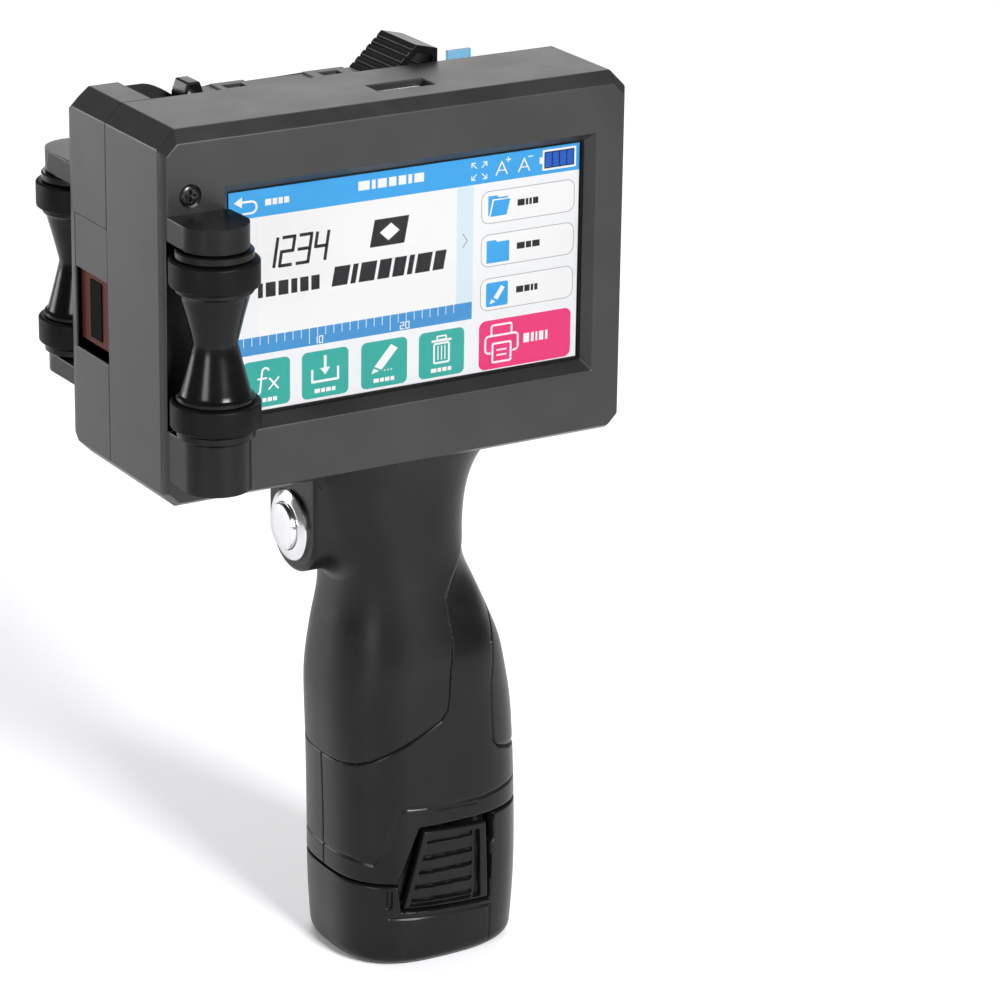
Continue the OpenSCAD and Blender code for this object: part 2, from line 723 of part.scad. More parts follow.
module battery_cells() color([0.3, 0.45, 0.65]) for (c = cells)
    translate([c[0], c[1], cell_z]) union() {
        cylinder(r = cell_r, h = cell_len - 1);
        cylinder(r = 2.6, h = cell_len);
    }

module battery_terminals() color("gold") for (x = [-8 : 4 : 4])
    block([x - 0.3, -4.8, stem_top - 2], [x + 0.3, 4.8, stem_top - 0.4]);

latch_rings = [10, 12, cut_low, 40];
latch_angles = [for (i = [0 : 20]) 200 + 7 * i];
// A ribbed push plate, curved like the battery's side
module latch_plate() {
    difference() {
        intersection() {
            shell_loft(latch_rings, latch_angles, even(latch_rings, latch_angles, 0), latch_t);
            along_y(-40, -10) polygon(latch_plan);
        }
        for (i = [0 : 4]) along_y(-40, -20.9)
            translate([-12.4 + 0.8 * i, 18 + 3.5 * i]) square([17.8 - 0.8 * i, 1.1]);
        along_y(-40, -20.6) translate([6, 17]) square([1.4, 17.5]);
    }
}

module front_latch() color([0.07, 0.07, 0.075]) latch_plate();
module rear_latch() color([0.07, 0.07, 0.075]) mirror([0, 1, 0]) latch_plate();

module latch_springs() color("silver") {
    to_minus_y(stem_x, -15.2, 26) coil(2, 0.3, 4, 4.6);
    translate([-9.5, 15.7, 26]) rotate([-90, 0, 0]) coil(2, 0.3, 4, 3.9);
}

// ---- Cartridge

// Side outline: the body with its round shoulder, and the snout that carries the nozzle
module cartridge_side(d) {
    intersection() {
        translate([cart_x0 + d, cart_z0 + d])
            square([cart_x1 - cart_x0 - 2 * d, cart_z1 - 1.2 - cart_z0 - d]);
        union() {
            translate([cart_x0 + shoulder_r, cart_z1 - shoulder_r]) circle(r = shoulder_r - d, $fn = 96);
            translate([cart_x0 + shoulder_r, cart_z0]) square([cart_x1 - cart_x0, cart_z1]);
            translate([cart_x0, cart_z0]) square([cart_x1 - cart_x0, cart_z1 - shoulder_r - cart_z0]);
        }
    }
    translate([snout_x + 0.6 + d, window_z0 + 2.1 + d])
        square([cart_x0 - snout_x, window_z1 - 0.3 - window_z0 - 2.1 - 2 * d]);
}

module cartridge_case() {
    color([0.08, 0.08, 0.09]) difference() {
        union() {
            along_y(cart_y0, cart_y1) cartridge_side(0);
            along_y(cart_y0 + 9, cart_y1 - 2) polygon([[-55, 214], [-49.5, 214], [-49.5, cart_z1],
                [-50.5, cart_z1 + 3.2], [-53.8, cart_z1 + 3.2], [-55, cart_z1]]);
        }
        along_y(cart_y0 + 1.2, cart_y1 - 1.2) translate([cart_x0 + 2, cart_z0 + 2])
            square([cart_x1 - cart_x0 - 4, cart_z1 - cart_z0 - shoulder_r - 2]);
    }
}

module cartridge_lid() {
    color([0.25, 0.25, 0.26]) difference() {
        union() {
            block([cart_x0 + shoulder_r - 2, cart_y0 + 0.4, cart_z1 - 1.2],
                [cart_x1, cart_y1 - 0.4, cart_z1 - 0.4]);
            block([-44, cart_y0 + 0.4, cart_z1 - 0.5], [-35, cart_y1 - 0.4, cart_z1]);
            block([-19, cart_y0 + 0.4, cart_z1 - 0.5], [-8, cart_y1 - 0.4, cart_z1]);
        }
        for (x = [-42, -16]) block([x, cart_y1 - 6, cart_z1 - 0.9], [x + 5, cart_y1 - 3, cart_z1 + 1]);
    }
}

// Ribbed finger tab, hollow at the sides
module cartridge_grip() {
    y0 = cart_y0 + 0.6;
    y1 = cart_y1;
    z = cart_z1 - 0.4;
    color([0.07, 0.07, 0.075]) difference() {
        along_y(y0, y1) difference() {
            polygon([[-6, z], [3, z + 8.1], [9, z + 6.6], [9, z]]);
            polygon([[-1.5, z + 1.4], [3.4, z + 6], [7.6, z + 5], [7.6, z + 1.4]]);
        }
        for (i = [1 : 5]) along_y(y0 - 1, y1 + 1)
            translate([-6 + 9 * i / 6, z + 8.1 * i / 6]) rotate(42) square([0.7, 0.7], center = true);
    }
}

module cartridge_label() {
    color([0.93, 0.93, 0.95]) block([-38, cart_y1, 178], [8, cart_y1 + 0.15, 218]);
}

module nozzle_flex() {
    color([0.3, 0.12, 0.08])
        block([snout_x + 0.3, cart_y0 - 0.3, window_z0 + 2.1],
            [snout_x + 0.6, cart_y0 + 15.9, window_z1 - 0.3]);
}

module nozzle_plate() {
    color([0.02, 0.02, 0.02])
        block([snout_x, cart_y0 + 5, window_z0 + 3.6], [snout_x + 0.3, cart_y0 + 10.8, window_z1 - 2]);
}

module ink_foam() {
    color([0.1, 0.1, 0.3]) block([cart_x0 + 2.2, cart_y0 + 1.4, cart_z0 + 2.2],
        [cart_x1 - 2.2, cart_y1 - 1.4, cart_z1 - shoulder_r - 0.4]);
}

front_shell();
rear_shell();
divider_plate();
window_insert();
touch_glass();
glass_gasket();
lcd_module();
display_ribbon();
mainboard();
board_components();
board_standoffs();
usb_socket();
contact_board();
contact_pins();
lock_clip();
face_screw();
shell_screws();
front_upper_arm();
front_lower_arm();
rear_upper_arm();
rear_lower_arm();
roller_bushes();
encoder_sensor();
encoder_cover();
front_roller_core();
front_roller_tyres();
front_axle();
encoder_disc();
rear_roller_core();
rear_roller_tyres();
rear_axle();
grip_front_half();
grip_rear_half();
front_grip_pad();
back_strap();
grip_screws();
button_bezel();
button_nut();
button_cap();
button_spring();
switch_block();
battery_socket();
socket_contacts();
cartridge_case();
cartridge_lid();
cartridge_grip();
cartridge_label();
nozzle_flex();
nozzle_plate();
ink_foam();
battery_cup();
battery_stem();
battery_cells();
battery_terminals();
front_latch();
rear_latch();
latch_springs();
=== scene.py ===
"""Looks for a handheld date code inkjet printer, built around its CAD frame. Sizes are in millimetres."""

import json
import math

import bmesh
import bpy
import numpy as np
from mathutils import Matrix, Vector


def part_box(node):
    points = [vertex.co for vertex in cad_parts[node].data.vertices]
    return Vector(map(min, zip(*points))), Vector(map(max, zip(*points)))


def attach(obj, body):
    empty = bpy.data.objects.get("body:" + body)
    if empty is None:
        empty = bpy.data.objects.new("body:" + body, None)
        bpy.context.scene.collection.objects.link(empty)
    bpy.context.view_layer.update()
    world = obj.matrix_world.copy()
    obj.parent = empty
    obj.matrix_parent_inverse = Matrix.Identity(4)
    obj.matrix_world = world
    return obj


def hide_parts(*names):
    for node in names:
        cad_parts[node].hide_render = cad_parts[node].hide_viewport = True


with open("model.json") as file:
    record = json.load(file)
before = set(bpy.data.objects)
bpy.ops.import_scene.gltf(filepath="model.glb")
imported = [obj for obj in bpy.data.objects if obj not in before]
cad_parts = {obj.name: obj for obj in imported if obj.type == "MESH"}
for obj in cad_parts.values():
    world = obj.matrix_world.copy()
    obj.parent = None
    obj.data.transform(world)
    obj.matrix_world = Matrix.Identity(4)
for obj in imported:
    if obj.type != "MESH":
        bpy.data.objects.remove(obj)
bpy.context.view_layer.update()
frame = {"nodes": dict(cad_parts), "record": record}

MM = 0.001
NODES = frame["nodes"]
RECORD = frame["record"]
BODY_OF = {n: b for b, nodes in RECORD["behaviour"]["bodies"].items() for n in nodes}
SLOT_OF = {s["node"]: s["material_slot"] for s in RECORD["subparts"]}
scene = bpy.context.scene
scene.view_settings.view_transform = "Standard"


def low_high(node):
    """A CAD node's lowest and highest corners in millimetres."""
    low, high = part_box(node)
    return np.array(low) / MM, np.array(high) / MM


# ---- Materials


def new_material(name):
    material = bpy.data.materials.new(name)
    material.use_nodes = True
    tree = material.node_tree
    return material, tree, tree.nodes["Principled BSDF"]


def noise(tree, size, detail=3.0, stretch=(1, 1, 1)):
    """Noise whose features are about size millimetres, in the object's own coordinates."""
    place = tree.nodes.new("ShaderNodeTexCoord")
    mapping = tree.nodes.new("ShaderNodeMapping")
    mapping.inputs["Scale"].default_value = stretch
    texture = tree.nodes.new("ShaderNodeTexNoise")
    texture.inputs["Scale"].default_value = 1 / (size * MM)
    texture.inputs["Detail"].default_value = detail
    tree.links.new(place.outputs["Object"], mapping.inputs["Vector"])
    tree.links.new(mapping.outputs["Vector"], texture.inputs["Vector"])
    return texture.outputs["Fac"]


def ramp(tree, source, low, high, start=0.35, end=0.65):
    node = tree.nodes.new("ShaderNodeValToRGB")
    node.color_ramp.elements[0].position = start
    node.color_ramp.elements[1].position = end
    node.color_ramp.elements[0].color = (*low, 1)
    node.color_ramp.elements[1].color = (*high, 1)
    tree.links.new(source, node.inputs["Fac"])
    return node.outputs["Color"]


def spread(tree, source, low, high):
    node = tree.nodes.new("ShaderNodeMapRange")
    node.inputs["From Min"].default_value = 0.3
    node.inputs["From Max"].default_value = 0.7
    node.inputs["To Min"].default_value = low
    node.inputs["To Max"].default_value = high
    tree.links.new(source, node.inputs["Value"])
    return node.outputs["Result"]


def bump(tree, shader, source, depth, strength=0.6):
    node = tree.nodes.new("ShaderNodeBump")
    node.inputs["Strength"].default_value = strength
    node.inputs["Distance"].default_value = depth * MM
    tree.links.new(source, node.inputs["Height"])
    tree.links.new(node.outputs["Normal"], shader.inputs["Normal"])


def set_sockets(shader, sockets):
    """Sets sockets given by keyword, whose names have underscores for spaces."""
    for key, value in sockets.items():
        shader.inputs[key.replace("_", " ")].default_value = value


def surface(name, low, high, rough, grain=0.35, depth=0.02, patch=14, metal=0.0, stretch=(1, 1, 1),
            **sockets):
    """Colour and roughness drift over patches, and a fine grain roughens the surface."""
    material, tree, shader = new_material(name)
    drift = noise(tree, patch, 4.0)
    fine = noise(tree, grain, 2.0, stretch)
    tree.links.new(ramp(tree, drift, low, high), shader.inputs["Base Color"])
    tree.links.new(spread(tree, drift, *rough), shader.inputs["Roughness"])
    bump(tree, shader, fine, depth)
    shader.inputs["Metallic"].default_value = metal
    set_sockets(shader, sockets)
    return material


def screen_colour(name, colour, glow=0.76):
    """A lit area of the display, with the faint unevenness of a backlight."""
    material, tree, shader = new_material(name)
    drift = noise(tree, 40, 1.0)
    dim = tuple(c * 0.94 for c in colour)
    lit = ramp(tree, drift, dim, colour)
    tree.links.new(lit, shader.inputs["Emission Color"])
    shader.inputs["Base Color"].default_value = (*[c * 0.1 for c in colour], 1)
    shader.inputs["Emission Strength"].default_value = glow
    shader.inputs["Roughness"].default_value = 0.5
    shader.inputs["Specular IOR Level"].default_value = 0.2
    return material


def clear(name, tint, rough, ior, **sockets):
    """A see-through material."""
    material, tree, shader = new_material(name)
    fine = noise(tree, 3, 2.0)
    tree.links.new(spread(tree, fine, *rough), shader.inputs["Roughness"])
    shader.inputs["Base Color"].default_value = (*tint, 1)
    shader.inputs["Transmission Weight"].default_value = 1
    shader.inputs["IOR"].default_value = ior
    set_sockets(shader, sockets)
    return material


def grey(value):
    """A grey with a trace of blue."""
    return (value, value, value * 1.02)


MATERIALS = {
    "head_plastic": surface("head_plastic", grey(0.009), grey(0.012), (0.35, 0.42), depth=0.012,
                            Specular_IOR_Level=0.36),
    "grip_plastic": surface("grip_plastic", grey(0.003), grey(0.0045), (0.26, 0.32), depth=0.006,
                            Specular_IOR_Level=0.17),
    "soft_pad": surface("soft_pad", grey(0.003), grey(0.0045), (0.29, 0.35), grain=0.25, depth=0.008,
                        Specular_IOR_Level=0.18),
    "roller_plastic": surface("roller_plastic", grey(0.0015), grey(0.003), (0.15, 0.22), grain=0.2,
                              depth=0.004, stretch=(0.2, 0.2, 3), Specular_IOR_Level=0.14),
    "rubber": surface("rubber", grey(0.0015), grey(0.003), (0.4, 0.5), grain=0.2, depth=0.02,
                      Specular_IOR_Level=0.08),
    "arm_plastic": surface("arm_plastic", grey(0.003), grey(0.005), (0.26, 0.32), depth=0.008,
                           Specular_IOR_Level=0.14),
    "black_steel": surface("black_steel", grey(0.02), grey(0.03), (0.2, 0.35), grain=0.2, depth=0.004,
                           metal=0.8),
    "steel": surface("steel", grey(0.4), grey(0.5), (0.25, 0.4), grain=0.2, depth=0.004, metal=1.0,
                     stretch=(0.1, 3, 3)),
    "button_metal": surface("button_metal", grey(0.58), grey(0.66), (0.12, 0.2), grain=0.3, depth=0.001,
                            metal=1.0),
    "brass": surface("brass", (0.55, 0.38, 0.14), (0.7, 0.5, 0.2), (0.25, 0.38), metal=1.0, depth=0.004),
    "glass": clear("glass", (1, 1, 1), (0.0, 0.02), 1.1),
    "screen": surface("screen", grey(0.004), grey(0.006), (0.3, 0.4)),
    "circuit_board": surface("circuit_board", (0.01, 0.1, 0.035), (0.015, 0.15, 0.05), (0.3, 0.4)),
    "component": surface("component", grey(0.02), grey(0.03), (0.45, 0.6)),
    "ribbon": surface("ribbon", (0.4, 0.18, 0.03), (0.5, 0.24, 0.05), (0.2, 0.3)),
    "nozzle_film": surface("nozzle_film", (0.05, 0.01, 0.006), (0.075, 0.016, 0.009), (0.45, 0.55),
                           grain=1.2, depth=0.01, Specular_IOR_Level=0.08),
    "nozzle_black": surface("nozzle_black", grey(0.001), grey(0.002), (0.5, 0.6), Specular_IOR_Level=0.02),
    "label_paper": surface("label_paper", grey(0.72), grey(0.74), (0.35, 0.45), depth=0.005),
    "clip_clear": clear("clip_clear", (0.2, 0.48, 0.72), (0.1, 0.2), 1.45),
    "foam": surface("foam", (0.01, 0.01, 0.03), (0.02, 0.02, 0.05), (0.7, 0.9), grain=0.6, depth=0.2),
    "cell_wrap": surface("cell_wrap", (0.05, 0.16, 0.4), (0.06, 0.2, 0.48), (0.2, 0.3)),
}
ROLLER_ARMS = ("front_upper_arm", "front_lower_arm", "rear_upper_arm", "rear_lower_arm")
LOOK_OF = {"face_screw": "black_steel", "shell_screws": "black_steel"}
LOOK_OF.update({arm: "arm_plastic" for arm in ROLLER_ARMS})


def look(node):
    """A node's material: the look of its record slot, unless one is set for it alone."""
    return MATERIALS[LOOK_OF.get(node, SLOT_OF.get(node, "grip_plastic"))]


# ---- Meshes


def finish_piece(obj, slot, body, replaced=(), sharp=35.0):
    """Shades a piece, gives it its material and puts it on its body."""
    if sharp:
        obj.data.shade_smooth()
        obj.data.set_sharp_from_angle(angle=math.radians(sharp))
    obj.data.materials.clear()
    obj.data.materials.append(MATERIALS[slot])
    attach(obj, body)
    if replaced:
        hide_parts(*replaced)
    return obj


def add_mesh(name, points, faces, slot, body="printer_body", replaced=(), sharp=35.0):
    """A new piece from points in millimetres."""
    mesh = bpy.data.meshes.new(name)
    mesh.from_pydata([tuple(float(c) * MM for c in p) for p in points], [], faces)
    mesh.validate()
    bm = bmesh.new()
    bm.from_mesh(mesh)
    bmesh.ops.remove_doubles(bm, verts=bm.verts, dist=1e-7)
    bmesh.ops.recalc_face_normals(bm, faces=bm.faces)
    bm.to_mesh(mesh)
    bm.free()
    obj = bpy.data.objects.new(name, mesh)
    scene.collection.objects.link(obj)
    return finish_piece(obj, slot, body, replaced, sharp)


def refine(node, width=0.35, segments=3):
    """A copy of a CAD node with its longer sharp edges rounded, which stands for it."""
    mesh = NODES[node].data.copy()
    bm = bmesh.new()
    bm.from_mesh(mesh)
    bmesh.ops.remove_doubles(bm, verts=bm.verts, dist=2e-6)
    bmesh.ops.dissolve_limit(bm, angle_limit=math.radians(0.6), verts=bm.verts, edges=bm.edges)
    shortest, flattest = 2.2 * width * MM, math.radians(32)
    sharp = [e for e in bm.edges if len(e.link_faces) == 2 and e.calc_length() > shortest
             and e.calc_face_angle() > flattest]
    bmesh.ops.bevel(bm, geom=sharp, offset=width * MM, segments=segments, profile=0.5, affect="EDGES",
                    clamp_overlap=False)
    bm.to_mesh(mesh)
    bm.free()
    obj = bpy.data.objects.new(node + "_finish", mesh)
    scene.collection.objects.link(obj)
    mesh.shade_smooth()
    mesh.set_sharp_from_angle(angle=math.radians(35))
    weighted = obj.modifiers.new("WeightedNormal", "WEIGHTED_NORMAL")
    weighted.weight = 100
    weighted.keep_sharp = True
    bpy.context.view_layer.update()
    ready = obj.evaluated_get(bpy.context.evaluated_depsgraph_get())
    obj.data = bpy.data.meshes.new_from_object(ready)
    obj.modifiers.clear()
    finish_piece(obj, SLOT_OF[node], BODY_OF[node], (node,), sharp=0)
    obj.data.materials[0] = look(node)


def revolve(name, profile, origin, slot, body, axis="Z", steps=96, replaced=(), sharp=30.0):
    """Turns a profile of (radius, along) pairs round an axis through origin."""
    points = []
    for k in range(steps):
        a = 2 * math.pi * k / steps
        for r, h in profile:
            c, s = r * math.cos(a), r * math.sin(a)
            points.append({"Z": (c, s, h), "X": (h, c, s), "Y": (c, h, s)}[axis])
    n = len(profile)
    faces = [(k * n + i, k * n + i + 1, (k + 1) % steps * n + i + 1, (k + 1) % steps * n + i)
             for k in range(steps) for i in range(n - 1)]
    points = [tuple(p[i] + origin[i] for i in range(3)) for p in points]
    return add_mesh(name, points, faces, slot, body, replaced, sharp)


def arc(centre, radius, start, end, steps=8):
    """Points of an arc in a plane, with its angles in degrees."""
    return [(centre[0] + radius * math.cos(math.radians(start + (end - start) * i / steps)),
             centre[1] + radius * math.sin(math.radians(start + (end - start) * i / steps)))
            for i in range(steps + 1)]


# ---- Grip and battery surface

# Height, centre along X, half width along X, half depth along Y, squareness of each cross-section
SECTIONS = np.array([
    (0, -0.3, 23.9, 21.0, 2.8), (12, -0.3, 24.7, 21.7, 2.8), (23, -0.3, 25.0, 22.0, 2.8),
    (57, -1.2, 25.0, 22.0, 2.65), (66, -1.8, 24.8, 22.0, 2.6), (74, -2.5, 23.9, 22.0, 2.6),
    (81, -2.9, 22.8, 21.7, 2.5), (88, -3.8, 21.1, 20.4, 2.4), (94, -4.6, 19.2, 19.2, 2.4),
    (104, -6.9, 17.5, 18.0, 2.4), (114, -9.0, 18.9, 18.3, 2.4), (124, -9.6, 20.6, 19.0, 2.5),
    (130, -9.2, 22.4, 20.0, 2.6), (134.8, -9.0, 25.0, 21.5, 2.8)])
# Columns run from 0 at +X to HALF_TURN at -X, which is about the length of half a turn
HALF_TURN = 77.0
STRAIGHT_TOP = 57
STRAIGHT_LIMITS = (9, 25, 22, 2.8)


def spline_slopes(rows):
    """Slopes at each row that make the curve through the rows smooth."""
    gaps = np.diff(rows[:, 0])
    rise = np.diff(rows, axis=0) / gaps[:, None]
    n = len(rows)
    system, right = np.zeros((n, n)), np.zeros_like(rows)
    system[0, :2], right[0] = (2, 1), 3 * rise[0]
    system[-1, -2:], right[-1] = (1, 2), 3 * rise[-1]
    for k in range(1, n - 1):
        system[k, k - 1:k + 2] = gaps[k], 2 * (gaps[k - 1] + gaps[k]), gaps[k - 1]
        right[k] = 3 * (gaps[k] * rise[k - 1] + gaps[k - 1] * rise[k])
    return np.linalg.solve(system, right)


SLOPES = spline_slopes(SECTIONS)


def section(z):
    """The cross-section at a height, on a smooth curve through the table's rows."""
    i = int(np.clip(np.searchsorted(SECTIONS[:, 0], z) - 1, 0, len(SECTIONS) - 2))
    span = SECTIONS[i + 1, 0] - SECTIONS[i, 0]
    t = (z - SECTIONS[i, 0]) / span
    row = (SECTIONS[i] * (2 * t**3 - 3 * t**2 + 1) + SLOPES[i] * span * (t**3 - 2 * t**2 + t)
           + SECTIONS[i + 1] * (3 * t**2 - 2 * t**3) + SLOPES[i + 1] * span * (t**3 - t**2))
    # Up to STRAIGHT_TOP the sides are straight, so the curve between the rows may not swell past them
    return row[1:] if z > STRAIGHT_TOP else np.minimum(row[1:], STRAIGHT_LIMITS)


def half_ring(z, us, inset=0.0):
    """Points of the -Y half of a cross-section, at the places us along its arc."""
    xc, a, b, n = section(z)
    t = np.linspace(0, math.pi, 1201)
    x = xc + (a - inset) * np.sign(np.cos(t)) * np.abs(np.cos(t)) ** (2 / n)
    y = -(b - inset) * np.abs(np.sin(t)) ** (2 / n)
    run = np.concatenate([[0], np.cumsum(np.hypot(np.diff(x), np.diff(y)))])
    at = np.asarray(us) / HALF_TURN * run[-1]
    return np.stack([np.interp(at, run, x), np.interp(at, run, y), np.full(len(at), z)], 1)


def side_y(x, z):
    """Y of the surface's -Y side at (x, z)."""
    xc, a, b, n = section(z)
    return -b * max(0.0, 1 - abs((x - xc) / a) ** n) ** (1 / n)


FAR = 1e9


def segment_distance(p, a, b):
    d = b - a
    t = np.clip(((p - a) @ d) / (d @ d), 0, 1)
    return np.hypot(*(p - a - t[:, None] * d).T)


def line_distance(points, line):
    """Distance to an open line of points."""
    p = np.asarray(points, float)
    nearest = np.full(len(p), FAR)
    for a, b in zip(np.asarray(line[:-1], float), np.asarray(line[1:], float)):
        nearest = np.minimum(nearest, segment_distance(p, a, b))
    return nearest


def signed_distance(points, outline):
    """Distance to a closed outline, negative inside it."""
    p = np.asarray(points, float)
    nearest = np.full(len(p), FAR)
    inside = np.zeros(len(p), bool)
    ring = np.asarray(outline, float)
    for a, b in zip(ring, np.roll(ring, -1, 0)):
        nearest = np.minimum(nearest, segment_distance(p, a, b))
        crosses = (a[1] > p[:, 1]) != (b[1] > p[:, 1])
        with np.errstate(divide="ignore", invalid="ignore"):
            at = a[0] + (p[:, 1] - a[1]) * (b[0] - a[0]) / (b[1] - a[1])
        inside ^= crosses & (p[:, 0] < at)
    return np.where(inside, -nearest, nearest)


def step(value, start, end):
    """Rises smoothly from 0 at start to 1 at end."""
    t = np.clip((value - start) / (end - start), 0, 1)
    return t * t * (3 - 2 * t)


def groove(points, line, width, depth):
    """Depth of a groove along a line."""
    return depth * (1 - step(line_distance(points, line), width * 0.15, width * 0.6))


def edge_drop(distance, width, depth):
    """Depth of a rounded edge: zero further in than width, and depth on the edge."""
    t = np.clip(1 + distance / width, 0, 1)
    return depth * (1 - np.sqrt(np.clip(1 - t * t, 0, 1)))


class Skin:
    """A grid over one half of the grip's surface, whose rows are heights and columns run round it."""

    def __init__(self, us, zs):
        self.us, self.zs = np.asarray(us, float), np.asarray(zs, float)
        self.points = np.stack([half_ring(z, self.us) for z in self.zs])
        along = np.gradient(self.points, axis=1)
        up = np.gradient(self.points, axis=0)
        normal = np.cross(up, along)
        self.normals = normal / np.maximum(np.linalg.norm(normal, axis=2, keepdims=True), 1e-9)
        grid_u, grid_z = np.meshgrid(self.us, self.zs)
        self.uz = np.stack([grid_u.ravel(), grid_z.ravel()], 1)
        self.xz = self.points.reshape(-1, 3)[:, [0, 2]]
        self.shape = grid_u.shape

    def build(self, name, depth, thickness, keep, side, slot, body, replaced=(), sharp=75.0):
        """A solid sheet of the kept points, sunk by depth, on the -Y half or mirrored onto +Y."""
        depth = np.asarray(depth).reshape(self.shape)[..., None]
        thickness = np.broadcast_to(np.asarray(thickness, float).reshape(-1, 1), (depth.size, 1))
        outer = (self.points - self.normals * depth).reshape(-1, 3)
        inner = outer - self.normals.reshape(-1, 3) * thickness
        rows, cols = self.shape
        keep = np.asarray(keep).reshape(self.shape)
        cells = keep[:-1, :-1] & keep[1:, :-1] & keep[:-1, 1:] & keep[1:, 1:]
        faces = []
        count = rows * cols
        edges = {}
        for r, c in zip(*np.nonzero(cells)):
            quad = (r * cols + c, r * cols + c + 1, (r + 1) * cols + c + 1, (r + 1) * cols + c)
            faces.append(quad)
            faces.append(tuple(k + count for k in reversed(quad)))
            for a, b in zip(quad, quad[1:] + quad[:1]):
                edges[(a, b)] = (b, a) not in edges
                if not edges[(a, b)]:
                    del edges[(a, b)], edges[(b, a)]
        faces += [(b, a, a + count, b + count) for a, b in edges]
        points = np.concatenate([outer, inner])
        if side > 0:
            points[:, 1] *= -1
        used = sorted({k for f in faces for k in f})
        index = {k: i for i, k in enumerate(used)}
        faces = [tuple(index[k] for k in f) for f in faces]
        return add_mesh(name, points[used], faces, slot, body, replaced, sharp)


GRIP_STEP = 0.33
CUT = [(-60, 23.3), (-15.3, 23.1), (-9.9, 37.9), (60, 37.9), (60, 200), (-60, 200)]
BATTERY_EDGE = [(-60, 22.8), (-14.8, 22.6), (-9.4, 37.4), (60, 37.4), (60, -20), (-60, -20)]
# Seams, as distance round from +X and height
FRONT_PIECE = [(-40, 117), (0, 116), (8, 113), (18.5, 106.6), (28.8, 100), (33.4, 96.3), (34.0, 92),
               (35.6, 85.5), (37.4, 78.9), (38.3, 71.2), (38.9, 68.4), (41, 66), (47.1, 62.6),
               (53.5, 59.2), (59.6, 56.2), (63.6, 54.9), (69.7, 54.1), (77, 53.9), (140, 53.9),
               (140, 220), (-40, 220)]
STRAP = [(-40, 51.2), (12, 51.8), (20, 53.2), (24.4, 54.8), (26, 57), (25.8, 66), (24.9, 72.8),
         (21.7, 82.5), (17, 87), (9, 94), (0, 97), (-40, 97)]
COLLAR = [(80, 29), (67, 29.2), (59.6, 28.5), (57.2, 31.5), (55.8, 35.1), (52.4, 43.2), (51, 43.6),
          (42, 43.1), (31, 42.9), (25, 43.4), (18, 43.8), (-5, 44.3)]
TICKS = [[(45, 42.4), (45, 39.9)], [(44.6, 42.5), (31.8, 41.9)]]
# X of the flat face that the button's flange rests on
BUTTON_FACE = -34.2


def spaced(low, high, size):
    """Evenly spaced values, about size apart."""
    return np.linspace(low, high, max(2, round((high - low) / size) + 1))


def grip_skins():
    """The grip's two halves, with the covers laid into them."""
    wall, cover, cover_floor = 2.3, 1.1, 0.5
    head_z = low_high("front_shell")[0][2]
    skin = Skin(spaced(0, HALF_TURN, GRIP_STEP), spaced(23.3, head_z + 0.1, GRIP_STEP))
    u, z = skin.uz[:, 0], skin.uz[:, 1]
    front = signed_distance(skin.uz, FRONT_PIECE)
    strap = signed_distance(skin.uz, STRAP)
    cut = signed_distance(skin.xz, CUT)
    # The panel beside the kinked seam lies lower than the front piece
    lowered = 0.8 * step(z, 76, 96) * (1 - step(z, 100, 114)) * (1 - step(front, 1, 14))
    covered = np.maximum(1 - step(front, -0.4, 0.35), 1 - step(strap, -0.4, 0.35))
    split = np.minimum(u, HALF_TURN - u)
    body_depth = np.maximum.reduce([
        cover * covered, lowered, edge_drop(cut, 0.8, 0.8), 0.35 * (1 - step(split, 0.1, 0.35)),
        groove(skin.uz, COLLAR, 0.9, 0.38), *[groove(skin.uz, line, 0.8, 0.25) for line in TICKS]])
    wide = 0.5 + 1.4 * step(z, 84, 95) * (1 - step(z, 100, 109))
    front_depth = edge_drop(front, wide, cover)
    strap_wide = 0.5 + 1.6 * (1 - step(z, 54, 59))
    strap_depth = edge_drop(strap, strap_wide, cover)
    for side, name, label in ((-1, "grip_front_half", "left"), (1, "grip_rear_half", "right")):
        skin.build(name + "_finish", body_depth, wall - body_depth, cut < 0.2, side, "grip_plastic",
                   "printer_body", (name,))
        skin.build("grip_cover_" + label, front_depth, cover_floor, front < 0.25, side, "soft_pad",
                   "printer_body", ("front_grip_pad",))
        skin.build("back_strap_" + label, strap_depth, cover_floor, strap < 0.25, side, "soft_pad",
                   "printer_body", ("back_strap",))


def neck_x(y, z):
    """X of the neck's -X side, with the top section carried on up to the head."""
    xc, a, b, n = section(min(z, SECTIONS[-1, 0]))
    return xc - a * max(0.0, 1 - abs(y / b) ** n) ** (1 / n)


